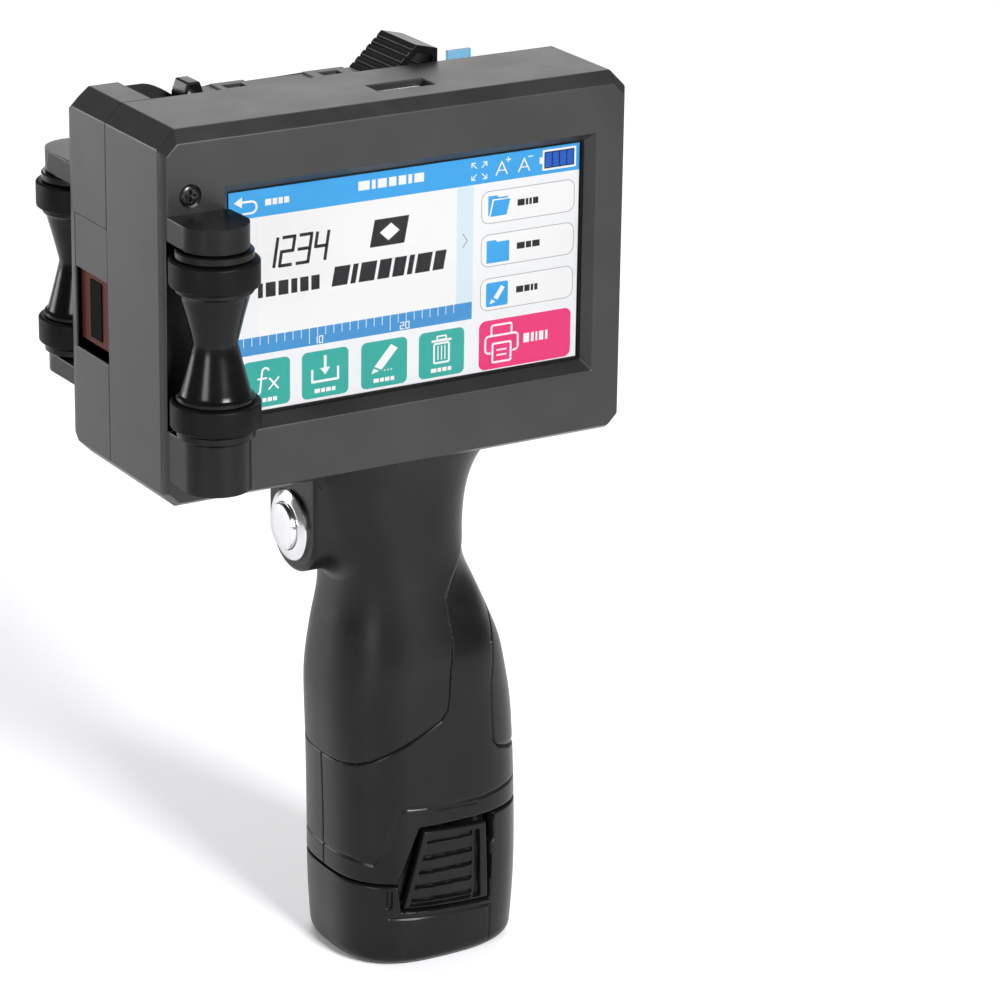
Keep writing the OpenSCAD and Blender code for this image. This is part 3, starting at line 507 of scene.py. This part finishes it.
def button_boss():
    """The neck's boss for the button: a U-shaped rim that flares into the neck."""
    low, high = low_high("button_bezel")
    axis_z = (low[2] + high[2]) / 2
    top = low_high("front_shell")[0][2] + 0.3 - axis_z
    radius, flare, fillet, lip = 11.8, 5.0, 1.2, 1.3
    straight, round_steps = 12, 48
    # The wall steps inwards by wall_in and towards +X by wall_deep
    wall_in, wall_deep = 0.8, 1.2
    rim = [(-radius, h) for h in np.linspace(top, 0.5, straight)]
    rim += arc((0, 0), radius, 180, 360, round_steps)
    rim += [(radius, h) for h in np.linspace(0.5, top, straight)]
    outward = [(-1, 0)] * straight + arc((0, 0), 1, 180, 360, round_steps) + [(1, 0)] * straight
    profile = [(-2.2, 0)]
    profile += [(-fillet + fillet * math.sin(t), fillet - fillet * math.cos(t))
                for t in np.linspace(0, math.pi / 2, 6)]
    points, faces = [], []
    for (y, h), (ny, nh) in zip(rim, outward):
        # Beside the button the face starts behind its flange, and above it the face is closed
        reach = radius if h > 8 else radius / 2
        column = [(BUTTON_FACE + deep, y + ny * out, axis_z + h + nh * out)
                  for out, deep in [(-reach, 0)] + profile]
        for t in np.linspace(0, 1, 10):
            turn = t * math.pi / 2
            out = flare * (1 - math.cos(turn))
            py, pz = y + ny * out, axis_z + h + nh * out
            base = neck_x(py, pz)
            rise = flare * (1 - math.sin(turn))
            column.append((base - rise + 0.2 * t if t else max(base - flare, BUTTON_FACE + lip), py, pz))
        column += [(x + wall_deep, py - wall_in * ny, pz - wall_in * nh) for x, py, pz in reversed(column)]
        points += column
    size = len(points) // len(rim)
    for k in range(len(rim) - 1):
        for i in range(size):
            a, b = k * size + i, k * size + (i + 1) % size
            faces.append((a, b, b + size, a + size))
    faces += [tuple(range(size)), tuple(range(len(points) - 1, len(points) - size - 1, -1))]
    add_mesh("button_boss", points, faces, "soft_pad", "printer_body", (), 50.0)


# ---- Battery

# Outlines along X and Z on the sides. The latch's corners: top left, top right, bottom right, bottom left
LATCH = ((-8.6, 36.8), (9.3, 35.8), (10.3, 14.8), (-13.6, 16.4))
LATCH_HOLE = [(-14.4, 15.6), (11.0, 14.0), (11.0, 29.6), (11.8, 30.1), (11.8, 60), (-11, 60), (-11, 37.3),
              (-15.2, 22.8)]
LOUVRES = [(-12.3, 16.9), (4.9, 16.0), (4.9, 34.4), (-7.6, 34.9)]
SLOT = [(5.6, 15.9), (7.7, 15.8), (7.2, 34.2), (5.6, 34.4)]
# Heights of the louvres' upper edges, on the left side and on the right side
RIB_LEFT = (33.6, 29.0, 25.4, 21.6, 18.1)
RIB_RIGHT = (32.9, 28.7, 24.9, 20.9, 16.9)
LOW_LINES = [[(-17.0, 13.9), (10.8, 12.7)], [(10.9, 12.7), (11.0, 2.8)], [(-13, 3.2), (10.8, 2.8)]]
SIDE_NOTCH = [(-17.7, 16.8), (-16.5, 16.8), (-16.5, 21.4), (-17.7, 21.4)]


def battery_cup():
    """The battery's outer cup: two halves with a rounded foot and an opening for each latch, and a floor."""
    wall, fillet, hole_depth, notch_depth = 2.2, 3.4, 1.9, 0.9
    fine, wide = ((0.2, 0.55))
    zs = np.concatenate([[0, 0.12, 0.4, 0.9, 1.6, 2.5, 3.4], spaced(3.9, 12, wide)[:-1],
                         spaced(12, 37.4, fine)])
    us = np.concatenate([spaced(0, 20, wide)[:-1], spaced(20, 62, fine)[:-1], spaced(62, HALF_TURN, wide)])
    skin = Skin(us, zs)
    z = skin.uz[:, 1]
    round_foot = fillet - np.sqrt(np.clip(fillet**2 - np.clip(fillet - z, 0, fillet) ** 2, 0, None))
    edge = signed_distance(skin.xz, BATTERY_EDGE)
    hole = signed_distance(skin.xz, LATCH_HOLE)
    depth = np.maximum.reduce([
        round_foot, edge_drop(edge, 0.6, 0.6), hole_depth * (1 - step(hole, -0.25, 0.15)),
        *[groove(skin.xz, line, 0.8, 0.35) for line in LOW_LINES],
        notch_depth * (1 - step(signed_distance(skin.xz, SIDE_NOTCH), -0.2, 0.2))])
    keep = (edge < 0.15) & (hole > -0.3)
    for side, label in ((-1, "front"), (1, "rear")):
        skin.build("battery_cup_" + label, depth, wall - depth, keep, side, "grip_plastic", "battery",
                   ("battery_cup",))
    rim = half_ring(0, spaced(0, HALF_TURN, 3), fillet)
    rim = np.concatenate([rim, (rim * (1, -1, 1))[::-1][1:-1]])
    floor = [(*p[:2], h) for h in (0.0, 2.4) for p in rim]
    n = len(rim)
    faces = [tuple(range(n)), tuple(range(2 * n - 1, n - 1, -1))]
    faces += [(k, (k + 1) % n, n + (k + 1) % n, n + k) for k in range(n)]
    add_mesh("battery_floor", floor, faces, "grip_plastic", "battery", (), 40.0)


def latch(side, node, body):
    """The latch: a rim round sloping louvres, with a slot beside them."""
    size = 0.17
    # Depths below the grip's surface: of the latch's outside and inside, and of the slot
    gap, inside, slot_depth = 0.15, 1.75, 1.3
    top_left, top_right, low_right, low_left = (np.array(c) for c in LATCH)
    columns, rows = spaced(0, 1, size / 25), spaced(0, 1, size / 21)
    s, t = (g.ravel() for g in np.meshgrid(columns, rows))
    left = low_left + t[:, None] * (top_left - low_left)
    right = low_right + t[:, None] * (top_right - low_right)
    xz = left + s[:, None] * (right - left)
    edge = -signed_distance(xz, LATCH)
    x, z = xz.T
    # Share of the way across, from the left ends of the louvres to their right ends
    across = (x - left[:, 0]) / (right[:, 0] - left[:, 0])
    slope = np.full(len(xz), 1.0)
    tops = [a + (b - a) * across for a, b in zip(RIB_LEFT, RIB_RIGHT)]
    for high, low in zip(tops, tops[1:]):
        # Each slat slopes inwards as it goes down, to a groove along its lower edge
        down = (high - z) / (high - low)
        slat = 0.1 + 0.4 * down + 0.7 * step(down, 0.74, 0.84) * (1 - step(down, 0.93, 1))
        slope = np.where((down >= 0) & (down < 1), slat, slope)
    slope = np.where(z > tops[0], 0.9, slope)
    slope = np.where(z < tops[-1], 0.2 + 0.8 * step(tops[-1] - z, 0.3, 1.2), slope)
    ribs = signed_distance(xz, LOUVRES)
    slot = signed_distance(xz, SLOT)
    depth = np.maximum.reduce([edge_drop(-edge, 0.5, 0.5), slope * (1 - step(ribs, -0.2, 0.1)),
                               slot_depth * (1 - step(slot, -0.2, 0.1))])
    outer = np.array([(px, side_y(px, pz) + gap + d, pz) for px, pz, d in zip(x, z, depth)])
    inner = np.array([(px, side_y(px, pz) + inside, pz) for px, pz in zip(x, z)])
    wide, count = len(columns), len(xz)
    ring = list(range(wide)) + list(range(2 * wide - 1, count, wide))
    ring += list(range(count - 2, count - wide - 1, -1)) + list(range(count - 2 * wide, 0, -wide))
    faces = []
    for r in range(len(rows) - 1):
        for c in range(wide - 1):
            quad = (r * wide + c, r * wide + c + 1, (r + 1) * wide + c + 1, (r + 1) * wide + c)
            faces += [quad, tuple(k + count for k in reversed(quad))]
    faces += [(b, a, a + count, b + count) for a, b in zip(ring, ring[1:] + ring[:1])]
    points = np.concatenate([outer, inner])
    points[:, 1] *= -side
    add_mesh(node + "_finish", points, faces, "grip_plastic", body, (node,), 50.0)


# ---- Trigger button and rollers


def button():
    """The button's flanged bezel and its domed cap."""
    low, high = low_high("button_cap")
    centre = (0, (low[1] + high[1]) / 2, (low[2] + high[2]) / 2)
    face = BUTTON_FACE
    bezel = [(6.2, face + 16), (8.0, face + 16), (8.0, face), (8.8, face), (8.8, face - 0.75),
             (8.65, face - 1.0), (7.35, face - 1.85), (7.1, face - 1.9), (6.15, face - 1.9),
             (5.98, face - 1.75), (5.98, face + 5), (6.2, face + 16)]
    revolve("button_bezel_finish", bezel, centre, "button_metal", "printer_body", "X", 128,
            ("button_bezel",), 25.0)
    cap = [(0.01, face - 3.12), (3.0, face - 3.12), (5.0, face - 3.08), (5.5, face - 2.98),
           (5.75, face - 2.75), (5.82, face - 2.5), (5.82, face + 2.2), (1.6, face + 2.2),
           (1.6, face + 11), (0.01, face + 11)]
    revolve("button_cap_finish", cap, centre, "button_metal", "trigger", "X", 128, ("button_cap",), 25.0)


def roller(prefix, body):
    """A waisted spool with two rubber tyres."""
    low, high = low_high(prefix + "_roller_core")
    z0, z1 = low[2], high[2]
    centre = ((low[0] + high[0]) / 2, (low[1] + high[1]) / 2, 0)
    mid = (z1 - z0) / 2
    half = [(2.0, 0), (8.8, 0), (9.1, 0.3), (9.1, 1.7), (8.8, 2.1), (8.7, 2.2), (8.7, 8.7), (8.8, 8.8),
            (9.1, 9.0), (9.1, 9.7), (8.9, 10.05), (8.35, 10.4), (8.15, 10.8), (7.95, 11.6)]
    waist, (shoulder, shoulder_z) = 5.2, (7.9, 11.6)
    half += [(waist + (shoulder - waist) * (1 - t) ** 1.04, shoulder_z + (mid - shoulder_z) * t)
             for t in (0.25, 0.5, 0.75, 0.97)]
    profile = half + [(r, 2 * mid - h) for r, h in reversed(half)]
    profile = [(r, z0 + h) for r, h in profile]
    revolve(prefix + "_roller_core_finish", profile, centre, "roller_plastic", body, "Z", 128,
            (prefix + "_roller_core",), 28.0)
    tyre = [(8.7, 0), (9.7, 0), (9.95, 0.06)]
    tyre += arc((9.89, 0.7), 0.6, -80, 0, 5) + arc((9.89, 5.8), 0.6, 0, 80, 5)
    tyre += [(9.95, 6.44), (9.7, 6.5), (8.7, 6.5)]
    for place, start in (("low", z0 + 2.2), ("high", z1 - 8.7)):
        revolve(f"{prefix}_tyre_{place}", [(r, start + h) for r, h in tyre], centre, "rubber", body, "Z",
                128, (prefix + "_roller_tyres",), 40.0)


# ---- Display contents

UI_COLOURS = {
    "ui_page": (0.97, 0.98, 1.0), "ui_white": (1.0, 1.0, 1.0), "ui_blue": (0.035, 0.4, 0.88),
    "ui_ruler": (0.05, 0.31, 0.68), "ui_pale": (0.76, 0.9, 0.98), "ui_teal": (0.027, 0.44, 0.38),
    "ui_pink": (0.9, 0.03, 0.2), "ui_ink": (0.01, 0.01, 0.012), "ui_navy": (0.0, 0.11, 0.62),
    "ui_line": (0.35, 0.35, 0.36), "ui_shade": (0.6, 0.6, 0.62)}
LAYER = 0.012
# Sizes on the display in millimetres, from its lower left corner
WIDE, TALL = 95.04, 53.86
HEADER_Z, RULER_Z = 46.9, 18.1
PREVIEW_X = (1.2, 61.2)
TEAL_X = (3.9, 19.5, 35.4, 51.1)
SIDE_X, SIDE_Z, SIDE_TALL = (68.0, 93.8), (36.8, 26.1, 15.2), 7.9


def rounded(x0, z0, x1, z1, corner, radius=None):
    """Outline of a rectangle, with an arc at each corner centred corner in from the edges."""
    radius = corner if radius is None else radius
    corners = [((x1 - corner, z0 + corner), -90), ((x1 - corner, z1 - corner), 0),
               ((x0 + corner, z1 - corner), 90), ((x0 + corner, z0 + corner), 180)]
    return [p for centre, angle in corners for p in arc(centre, radius, angle, angle + 90, 6)]


class Display:
    """Flat coloured shapes in thin layers on the display, gathered into one mesh for each colour."""

    def __init__(self):
        low, high = low_high("touch_glass")
        self.x, self.z = low[0] + 3, low[2] + 3
        self.y = high[1] - 0.02
        self.shapes = {}

    def polygon(self, colour, points, layer):
        self.shapes.setdefault(colour, []).append(([(x, layer, z) for x, z in points]))

    def box(self, colour, x0, z0, x1, z1, layer, radius=0.0):
        square = [(x0, z0), (x1, z0), (x1, z1), (x0, z1)]
        self.polygon(colour, rounded(x0, z0, x1, z1, radius) if radius else square, layer)

    def frame(self, colour, x0, z0, x1, z1, width, layer, radius):
        """A box's outline as a stroke."""
        path = rounded(x0, z0, x1, z1, radius)
        self.stroke(colour, path + path[:1], width, layer)

    def stroke(self, colour, path, width, layer):
        """A line along a path, each stretch a little longer than the path so that the stretches join."""
        for (x0, z0), (x1, z1) in zip(path, path[1:]):
            size = math.hypot(x1 - x0, z1 - z0)
            if size < 1e-6:
                continue
            nx, nz = -(z1 - z0) / size * width / 2, (x1 - x0) / size * width / 2
            ex, ez = (x1 - x0) / size * width * 0.3, (z1 - z0) / size * width * 0.3
            self.polygon(colour, [(x0 + nx - ex, z0 + nz - ez), (x0 - nx - ex, z0 - nz - ez),
                                  (x1 - nx + ex, z1 - nz + ez), (x1 + nx + ex, z1 + nz + ez)], layer)

    def digits(self, colour, text, x, z, height, width, stroke, lean, layer, gap=0.25):
        """Seven-segment digits as plain strokes."""
        w, h = width, height
        spots = {"a": ((0, h), (w, h)), "b": ((w, h), (w, h / 2)), "c": ((w, h / 2), (w, 0)),
                 "d": ((0, 0), (w, 0)), "e": ((0, h / 2), (0, 0)), "f": ((0, h), (0, h / 2)),
                 "g": ((0, h / 2), (w, h / 2))}
        lit = {"0": "abcdef", "1": "bc", "2": "abged", "3": "abgcd", "4": "fgbc"}
        for digit in text:
            for part in lit[digit]:
                ends = [(x + px + lean * pz, z + pz) for px, pz in spots[part]]
                self.stroke(colour, ends, stroke, layer)
            x += w + gap * height

    def bars(self, colour, x0, z0, z1, sizes, layer, gap=0.45):
        """Short bars that stand for a word."""
        for size in sizes:
            self.box(colour, x0, z0, x0 + size, z1, layer)
            x0 += size + gap

    def finish(self):
        """Each shape becomes a thin slab on the display's plane, and higher layers are thicker."""
        for colour, shapes in self.shapes.items():
            points, faces = [], []
            for shape in shapes:
                n, start = len(shape), len(points)
                points += [(self.x + x, self.y - LAYER * layer, self.z + z) for x, layer, z in shape]
                points += [(self.x + x, self.y, self.z + z) for x, layer, z in shape]
                faces += [tuple(range(start, start + n)), tuple(range(start + 2 * n - 1, start + n - 1, -1))]
                faces += [(start + (k + 1) % n, start + k, start + n + k, start + n + (k + 1) % n)
                          for k in range(n)]
            mesh = bpy.data.meshes.new(colour)
            mesh.from_pydata([tuple(c * MM for c in p) for p in points], [], faces)
            obj = bpy.data.objects.new(colour, mesh)
            scene.collection.objects.link(obj)
            mesh.materials.append(screen_colour(colour, UI_COLOURS[colour]))
            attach(obj, "printer_body")


def glass_pane():
    """A thin pane with rounded corners and a polished edge."""
    low, high = low_high("touch_glass")
    thickness, corner, edge = 0.4, 1.0, 0.12
    rings = []
    for inset, y in ((edge, 0.0), (0.0, edge), (0.0, thickness - edge), (edge, thickness)):
        outline = rounded(low[0], low[2], high[0], high[2], corner, corner - inset)
        rings.append([(x, low[1] + y, z) for x, z in outline])
    n = len(rings[0])
    faces = [tuple(range(n)), tuple(range(4 * n - 1, 3 * n - 1, -1))]
    faces += [(i * n + k, i * n + (k + 1) % n, (i + 1) * n + (k + 1) % n, (i + 1) * n + k)
              for i in range(3) for k in range(n)]
    add_mesh("glass_pane", [p for ring in rings for p in ring], faces, "glass", "printer_body",
             ("touch_glass",), 30.0)


def display():
    d = Display()
    d.box("ui_page", 0, 0, WIDE, TALL, 1)
    header(d)
    preview(d)
    ruler(d)
    teal_buttons(d)
    side_buttons(d)
    pink_button(d)
    d.finish()


def header(d):
    """The bar along the top: a back arrow, bars in place of words, size buttons and a battery gauge."""
    d.box("ui_blue", 0, HEADER_Z, WIDE, TALL, 2)
    back_arrow(d)
    d.bars("ui_white", 10.0, 49.4, 50.9, (1.6, 1.2, 1.1, 1.3), 3, 0.35)
    d.bars("ui_white", 34.5, 49.6, 51.8, (3.0, 1.0, 2.4, 2.0, 2.0, 1.0, 2.6), 3, 0.6)
    expand_arrows(d, 64.9, 47.8)
    for x, larger in ((71.9, True), (78.1, False)):
        d.stroke("ui_white", [(x, 48.5), (x + 1.5, 51.6), (x + 3.0, 48.5)], 0.34, 3)
        d.stroke("ui_white", [(x + 0.7, 49.5), (x + 2.3, 49.5)], 0.26, 3)
        d.stroke("ui_white", [(x + 2.7, 51.9), (x + 3.9, 51.9)], 0.26, 3)
        if larger:
            d.stroke("ui_white", [(x + 3.3, 51.3), (x + 3.3, 52.5)], 0.26, 3)
    d.box("ui_white", 84.7, 47.8, 94.1, 52.9, 3, 0.3)
    d.box("ui_ink", 85.2, 48.3, 93.6, 52.4, 4)
    d.box("ui_white", 83.9, 49.6, 84.8, 51.2, 3)
    for k in range(4):
        d.box("ui_navy", 85.5 + 2.05 * k, 48.6, 87.2 + 2.05 * k, 52.1, 5)


def back_arrow(d):
    turn = arc((6.4, 49.5), 1.4, 90, -90, 8)
    d.stroke("ui_white", [(3.4, 50.9), (6.4, 50.9)] + turn + [(4.2, 48.1)], 0.5, 3)
    d.polygon("ui_white", [(1.9, 50.9), (4.0, 52.2), (4.0, 49.6)], 3)


def expand_arrows(d, x, z):
    """Four arrows that point away from each other."""
    for sx in (-1, 1):
        for sz in (-1, 1):
            cx, cz = x + 2.3 + sx * 0.75, z + 2.3 + sz * 0.75
            tip = (cx + sx * 1.3, cz + sz * 1.3)
            d.stroke("ui_white", [(cx, cz), tip], 0.25, 3)
            d.stroke("ui_white", [(tip[0] - sx * 1.0, tip[1]), tip, (tip[0], tip[1] - sz * 1.0)], 0.25, 3)


def preview(d):
    """The print preview: generic digits, and bars in place of words."""
    left, right = PREVIEW_X
    d.box("ui_white", left, RULER_Z, right, HEADER_Z, 2)
    for k in range(5):
        d.box("ui_shade" if k < 1 else "ui_page", left + 1.4 * k, RULER_Z, left + 1.4 * (k + 1), HEADER_Z, 3)
    d.digits("ui_ink", "1234", 9.2, 34.4, 6.7, 3.0, 0.8, 0.16, 4, 0.22)
    d.bars("ui_ink", 8.0, 27.4, 30.9, (1.3, 2.6, 2.6, 1.6, 2.2, 2.2), 4, 0.75)
    d.polygon("ui_ink", [(37.6, 35.4), (46.9, 35.4), (48.2, 42.0), (38.9, 42.0)], 4)
    d.polygon("ui_white", [(42.6, 36.6), (45.6, 38.7), (43.3, 40.8), (40.3, 38.7)], 5)
    x, low, high, lean = 27.4, 27.4, 32.1, 0.9
    for size in (4.2, 1.4, 4.2, 3.2, 3.2, 1.4, 4.0, 3.0):
        d.polygon("ui_ink", [(x, low), (x + size, low), (x + size + lean, high), (x + lean, high)], 4)
        x += size + 0.8
    d.box("ui_pale", right, RULER_Z, 65.7, HEADER_Z, 3)
    d.stroke("ui_line", [(62.9, 35.2), (64.1, 33.5), (62.9, 31.8)], 0.25, 4)


def ruler(d):
    """Ticks along the preview, with a longer one and a number at each ten."""
    d.box("ui_ruler", 0.6, 13.8, 65.6, RULER_Z, 2)
    for k in range(27):
        x = 4.1 + 2.17 * k
        long_tick = k % 10 == 8
        d.box("ui_white", x, 14.3 if long_tick else 16.0, x + 0.16, RULER_Z, 3)
    for number, x in (("10", 22.7), ("20", 46.0)):
        d.digits("ui_white", number, x, 14.2, 1.6, 0.9, 0.24, 0, 4, 0.35)


def teal_buttons(d):
    for x in TEAL_X:
        d.box("ui_teal", x, 0.7, x + 12.5, 12.2, 2, 1.4)
        d.bars("ui_white", x + 3.4, 1.9, 2.9, (1.5, 1.0, 1.2, 1.0), 3, 0.3)
    for x, icon in zip(TEAL_X, (formula_icon, load_icon, pencil_icon, bin_icon)):
        icon(d, x)


def formula_icon(d, x):
    hook, foot = arc((x + 6.0, 9.3), 0.9, 20, 180, 6), arc((x + 3.7, 4.6), 0.7, -20, -150, 4)
    d.stroke("ui_white", hook + [(x + 4.5, 4.4)] + foot, 0.5, 3)
    d.stroke("ui_white", [(x + 4.0, 7.7), (x + 6.3, 7.7)], 0.45, 3)
    d.stroke("ui_white", [(x + 7.1, 7.5), (x + 9.3, 4.9)], 0.5, 3)
    d.stroke("ui_white", [(x + 9.5, 7.5), (x + 6.9, 4.9)], 0.4, 3)


def load_icon(d, x):
    """An arrow down into a tray."""
    d.box("ui_white", x + 5.9, 7.6, x + 6.6, 10.9, 3)
    d.polygon("ui_white", [(x + 4.9, 7.9), (x + 7.6, 7.9), (x + 6.25, 6.2)], 3)
    d.stroke("ui_white", [(x + 2.8, 7.6), (x + 2.8, 4.7), (x + 9.7, 4.7), (x + 9.7, 7.6)], 0.6, 3)


def pencil_icon(d, x):
    d.polygon("ui_white", [(x + 3.6, 5.9), (x + 5.5, 4.9), (x + 9.9, 9.7), (x + 8.1, 10.9)], 3)
    d.polygon("ui_white", [(x + 2.8, 4.2), (x + 3.4, 5.5), (x + 4.9, 4.7)], 3)
    for k in range(3):
        d.box("ui_white", x + 6.2 + k * 0.9, 4.5, x + 6.55 + k * 0.9, 4.85, 3)


def bin_icon(d, x):
    d.box("ui_white", x + 3.5, 9.4, x + 9.0, 10.0, 3)
    d.frame("ui_white", x + 5.0, 9.9, x + 7.5, 10.8, 0.4, 3, 0.2)
    d.frame("ui_white", x + 4.2, 4.2, x + 8.3, 9.0, 0.5, 3, 0.4)
    for k in range(3):
        d.box("ui_white", x + 5.15 + k * 0.95, 4.9, x + 5.45 + k * 0.95, 8.4, 3)


def side_buttons(d):
    """Three white buttons, each with a blue icon and bars in place of its word."""
    left, right = SIDE_X
    words = ((2.0, 0.7, 0.7, 1.5), (2.2, 1.5, 2.1), (2.0, 1.5, 0.7, 0.9))
    for z, word in zip(SIDE_Z, words):
        d.box("ui_white", left, z, right, z + SIDE_TALL, 2, 2.0)
        d.frame("ui_line", left, z, right, z + SIDE_TALL, 0.16, 3, 2.0)
        d.bars("ui_ink", 77.9, z + 3.3, z + 4.9, word, 3, 0.3)
    # An open folder, a folder and a pencil on a sheet
    d.polygon("ui_blue", [(70.4, 38.4), (74.9, 38.4), (75.9, 42.3), (71.4, 42.3)], 3)
    d.polygon("ui_blue", [(69.8, 38.6), (70.1, 38.6), (71.0, 42.6), (75.3, 42.6), (75.3, 43.0), (72.6, 43.0),
                          (72.2, 43.5), (69.8, 43.5)], 3)
    d.polygon("ui_blue", [(69.5, 26.9), (75.8, 26.9), (75.8, 32.0), (72.4, 32.0), (71.9, 32.5),
                          (69.5, 32.5)], 3)
    d.box("ui_blue", 69.5, 16.0, 75.6, 22.0, 3, 0.5)
    d.polygon("ui_white", [(71.6, 18.2), (72.7, 17.6), (74.7, 20.4), (73.7, 21.1)], 4)
    d.polygon("ui_white", [(70.5, 16.7), (71.1, 17.9), (72.2, 17.1)], 4)


def pink_button(d):
    """The print button with a printer icon."""
    d.box("ui_pink", 67.7, 0.3, 93.5, 12.6, 2, 1.8)
    d.frame("ui_white", 71.2, 8.3, 76.8, 11.2, 0.5, 3, 0.5)
    d.box("ui_pink", 70.4, 7.4, 77.6, 8.9, 4)
    d.frame("ui_white", 69.5, 4.3, 78.6, 8.6, 0.5, 5, 1.0)
    d.box("ui_pink", 71.0, 3.6, 77.1, 6.6, 6)
    d.frame("ui_white", 71.5, 1.9, 76.6, 6.6, 0.5, 7, 0.4)
    for z in (4.9, 3.6):
        d.stroke("ui_white", [(72.8, z), (75.3, z)], 0.4, 7)
    d.bars("ui_white", 80.2, 5.6, 7.9, (1.6, 0.8, 0.5, 1.2, 0.7), 3, 0.5)


# ---- Stage


def stage():
    """The floor, the pale surroundings and the lamps, with sizes in metres."""
    size = 6.0
    mesh = bpy.data.meshes.new("floor")
    corners = [(-size, -size, 0), (size, -size, 0), (size, size, 0), (-size, size, 0)]
    mesh.from_pydata(corners, [], [(0, 1, 2, 3)])
    floor = bpy.data.objects.new("floor", mesh)
    scene.collection.objects.link(floor)
    pale = surface("floor", grey(0.86), grey(0.9), (0.5, 0.6), grain=3, depth=0.01, patch=300)
    mesh.materials.append(pale)
    world = bpy.data.worlds.new("studio")
    world.use_nodes = True
    background = world.node_tree.nodes["Background"]
    background.inputs["Color"].default_value = (1, 1, 1, 1)
    background.inputs["Strength"].default_value = 0.24
    scene.world = world
    lamp("key", (0.1, -1.25, 0.76), (-0.02, 0, 0.1), 0.45, 36)
    lamp("left_fill", (-1.2, -0.62, 0.42), (-0.03, 0, 0.12), 0.4, 9)
    lamp("left_back", (-0.8, 1.05, 0.3), (-0.05, 0, 0.16), 0.5, 6)
    lamp("back", (0.75, 1.15, 0.62), (-0.02, 0, 0.15), 0.9, 3.5)
    lamp("top", (0.3, 0.7, 1.5), (0.3, 0.7, 0), 1.0, 11)


def lamp(name, place, target, size, power):
    light = bpy.data.lights.new(name, "AREA")
    light.shape = "SQUARE"
    light.size = size
    light.energy = power
    obj = bpy.data.objects.new(name, light)
    scene.collection.objects.link(obj)
    obj.location = place
    obj.rotation_euler = (Vector(target) - Vector(place)).to_track_quat("-Z", "Y").to_euler()


def camera():
    """A long lens that looks down a little at the screen and the button."""
    place = Vector((-0.4994, -0.8610, 0.4777))
    data = bpy.data.cameras.new("camera")
    data.sensor_width = 36
    data.lens = 154.86
    data.clip_start, data.clip_end = 0.05, 30
    obj = bpy.data.objects.new("camera", data)
    scene.collection.objects.link(obj)
    forward = Vector((0.48877, 0.80284, -0.34140)).normalized()
    up = Vector((0.1644, 0.2996, 0.9398))
    right = forward.cross(up).normalized()
    up = right.cross(forward)
    turn = Matrix((right, up, -forward)).transposed().to_4x4()
    obj.matrix_world = Matrix.Translation(place) @ turn
    scene.camera = obj


# ---- Assembly

for obj in NODES.values():
    obj.data.materials.clear()
    obj.data.materials.append(look(obj.name))

ROUNDED_EDGES = {
    "front_shell": 0.3, "rear_shell": 0.3, "window_insert": 0.12, "front_upper_arm": 0.45,
    "front_lower_arm": 0.45, "rear_upper_arm": 0.45, "rear_lower_arm": 0.45, "encoder_cover": 0.3,
    "cartridge_case": 0.5, "cartridge_lid": 0.2, "cartridge_grip": 0.2, "lock_clip": 0.2,
    "face_screw": 0.1, "usb_socket": 0.08, "divider_plate": 0.3}
for node_name, edge_width in ROUNDED_EDGES.items():
    refine(node_name, edge_width)

grip_skins()
button_boss()
battery_cup()
latch(-1, "front_latch", "front_latch_body")
latch(1, "rear_latch", "rear_latch_body")
button()
roller("front", "front_roller")
roller("rear", "rear_roller")
glass_pane()
display()
stage()
camera()
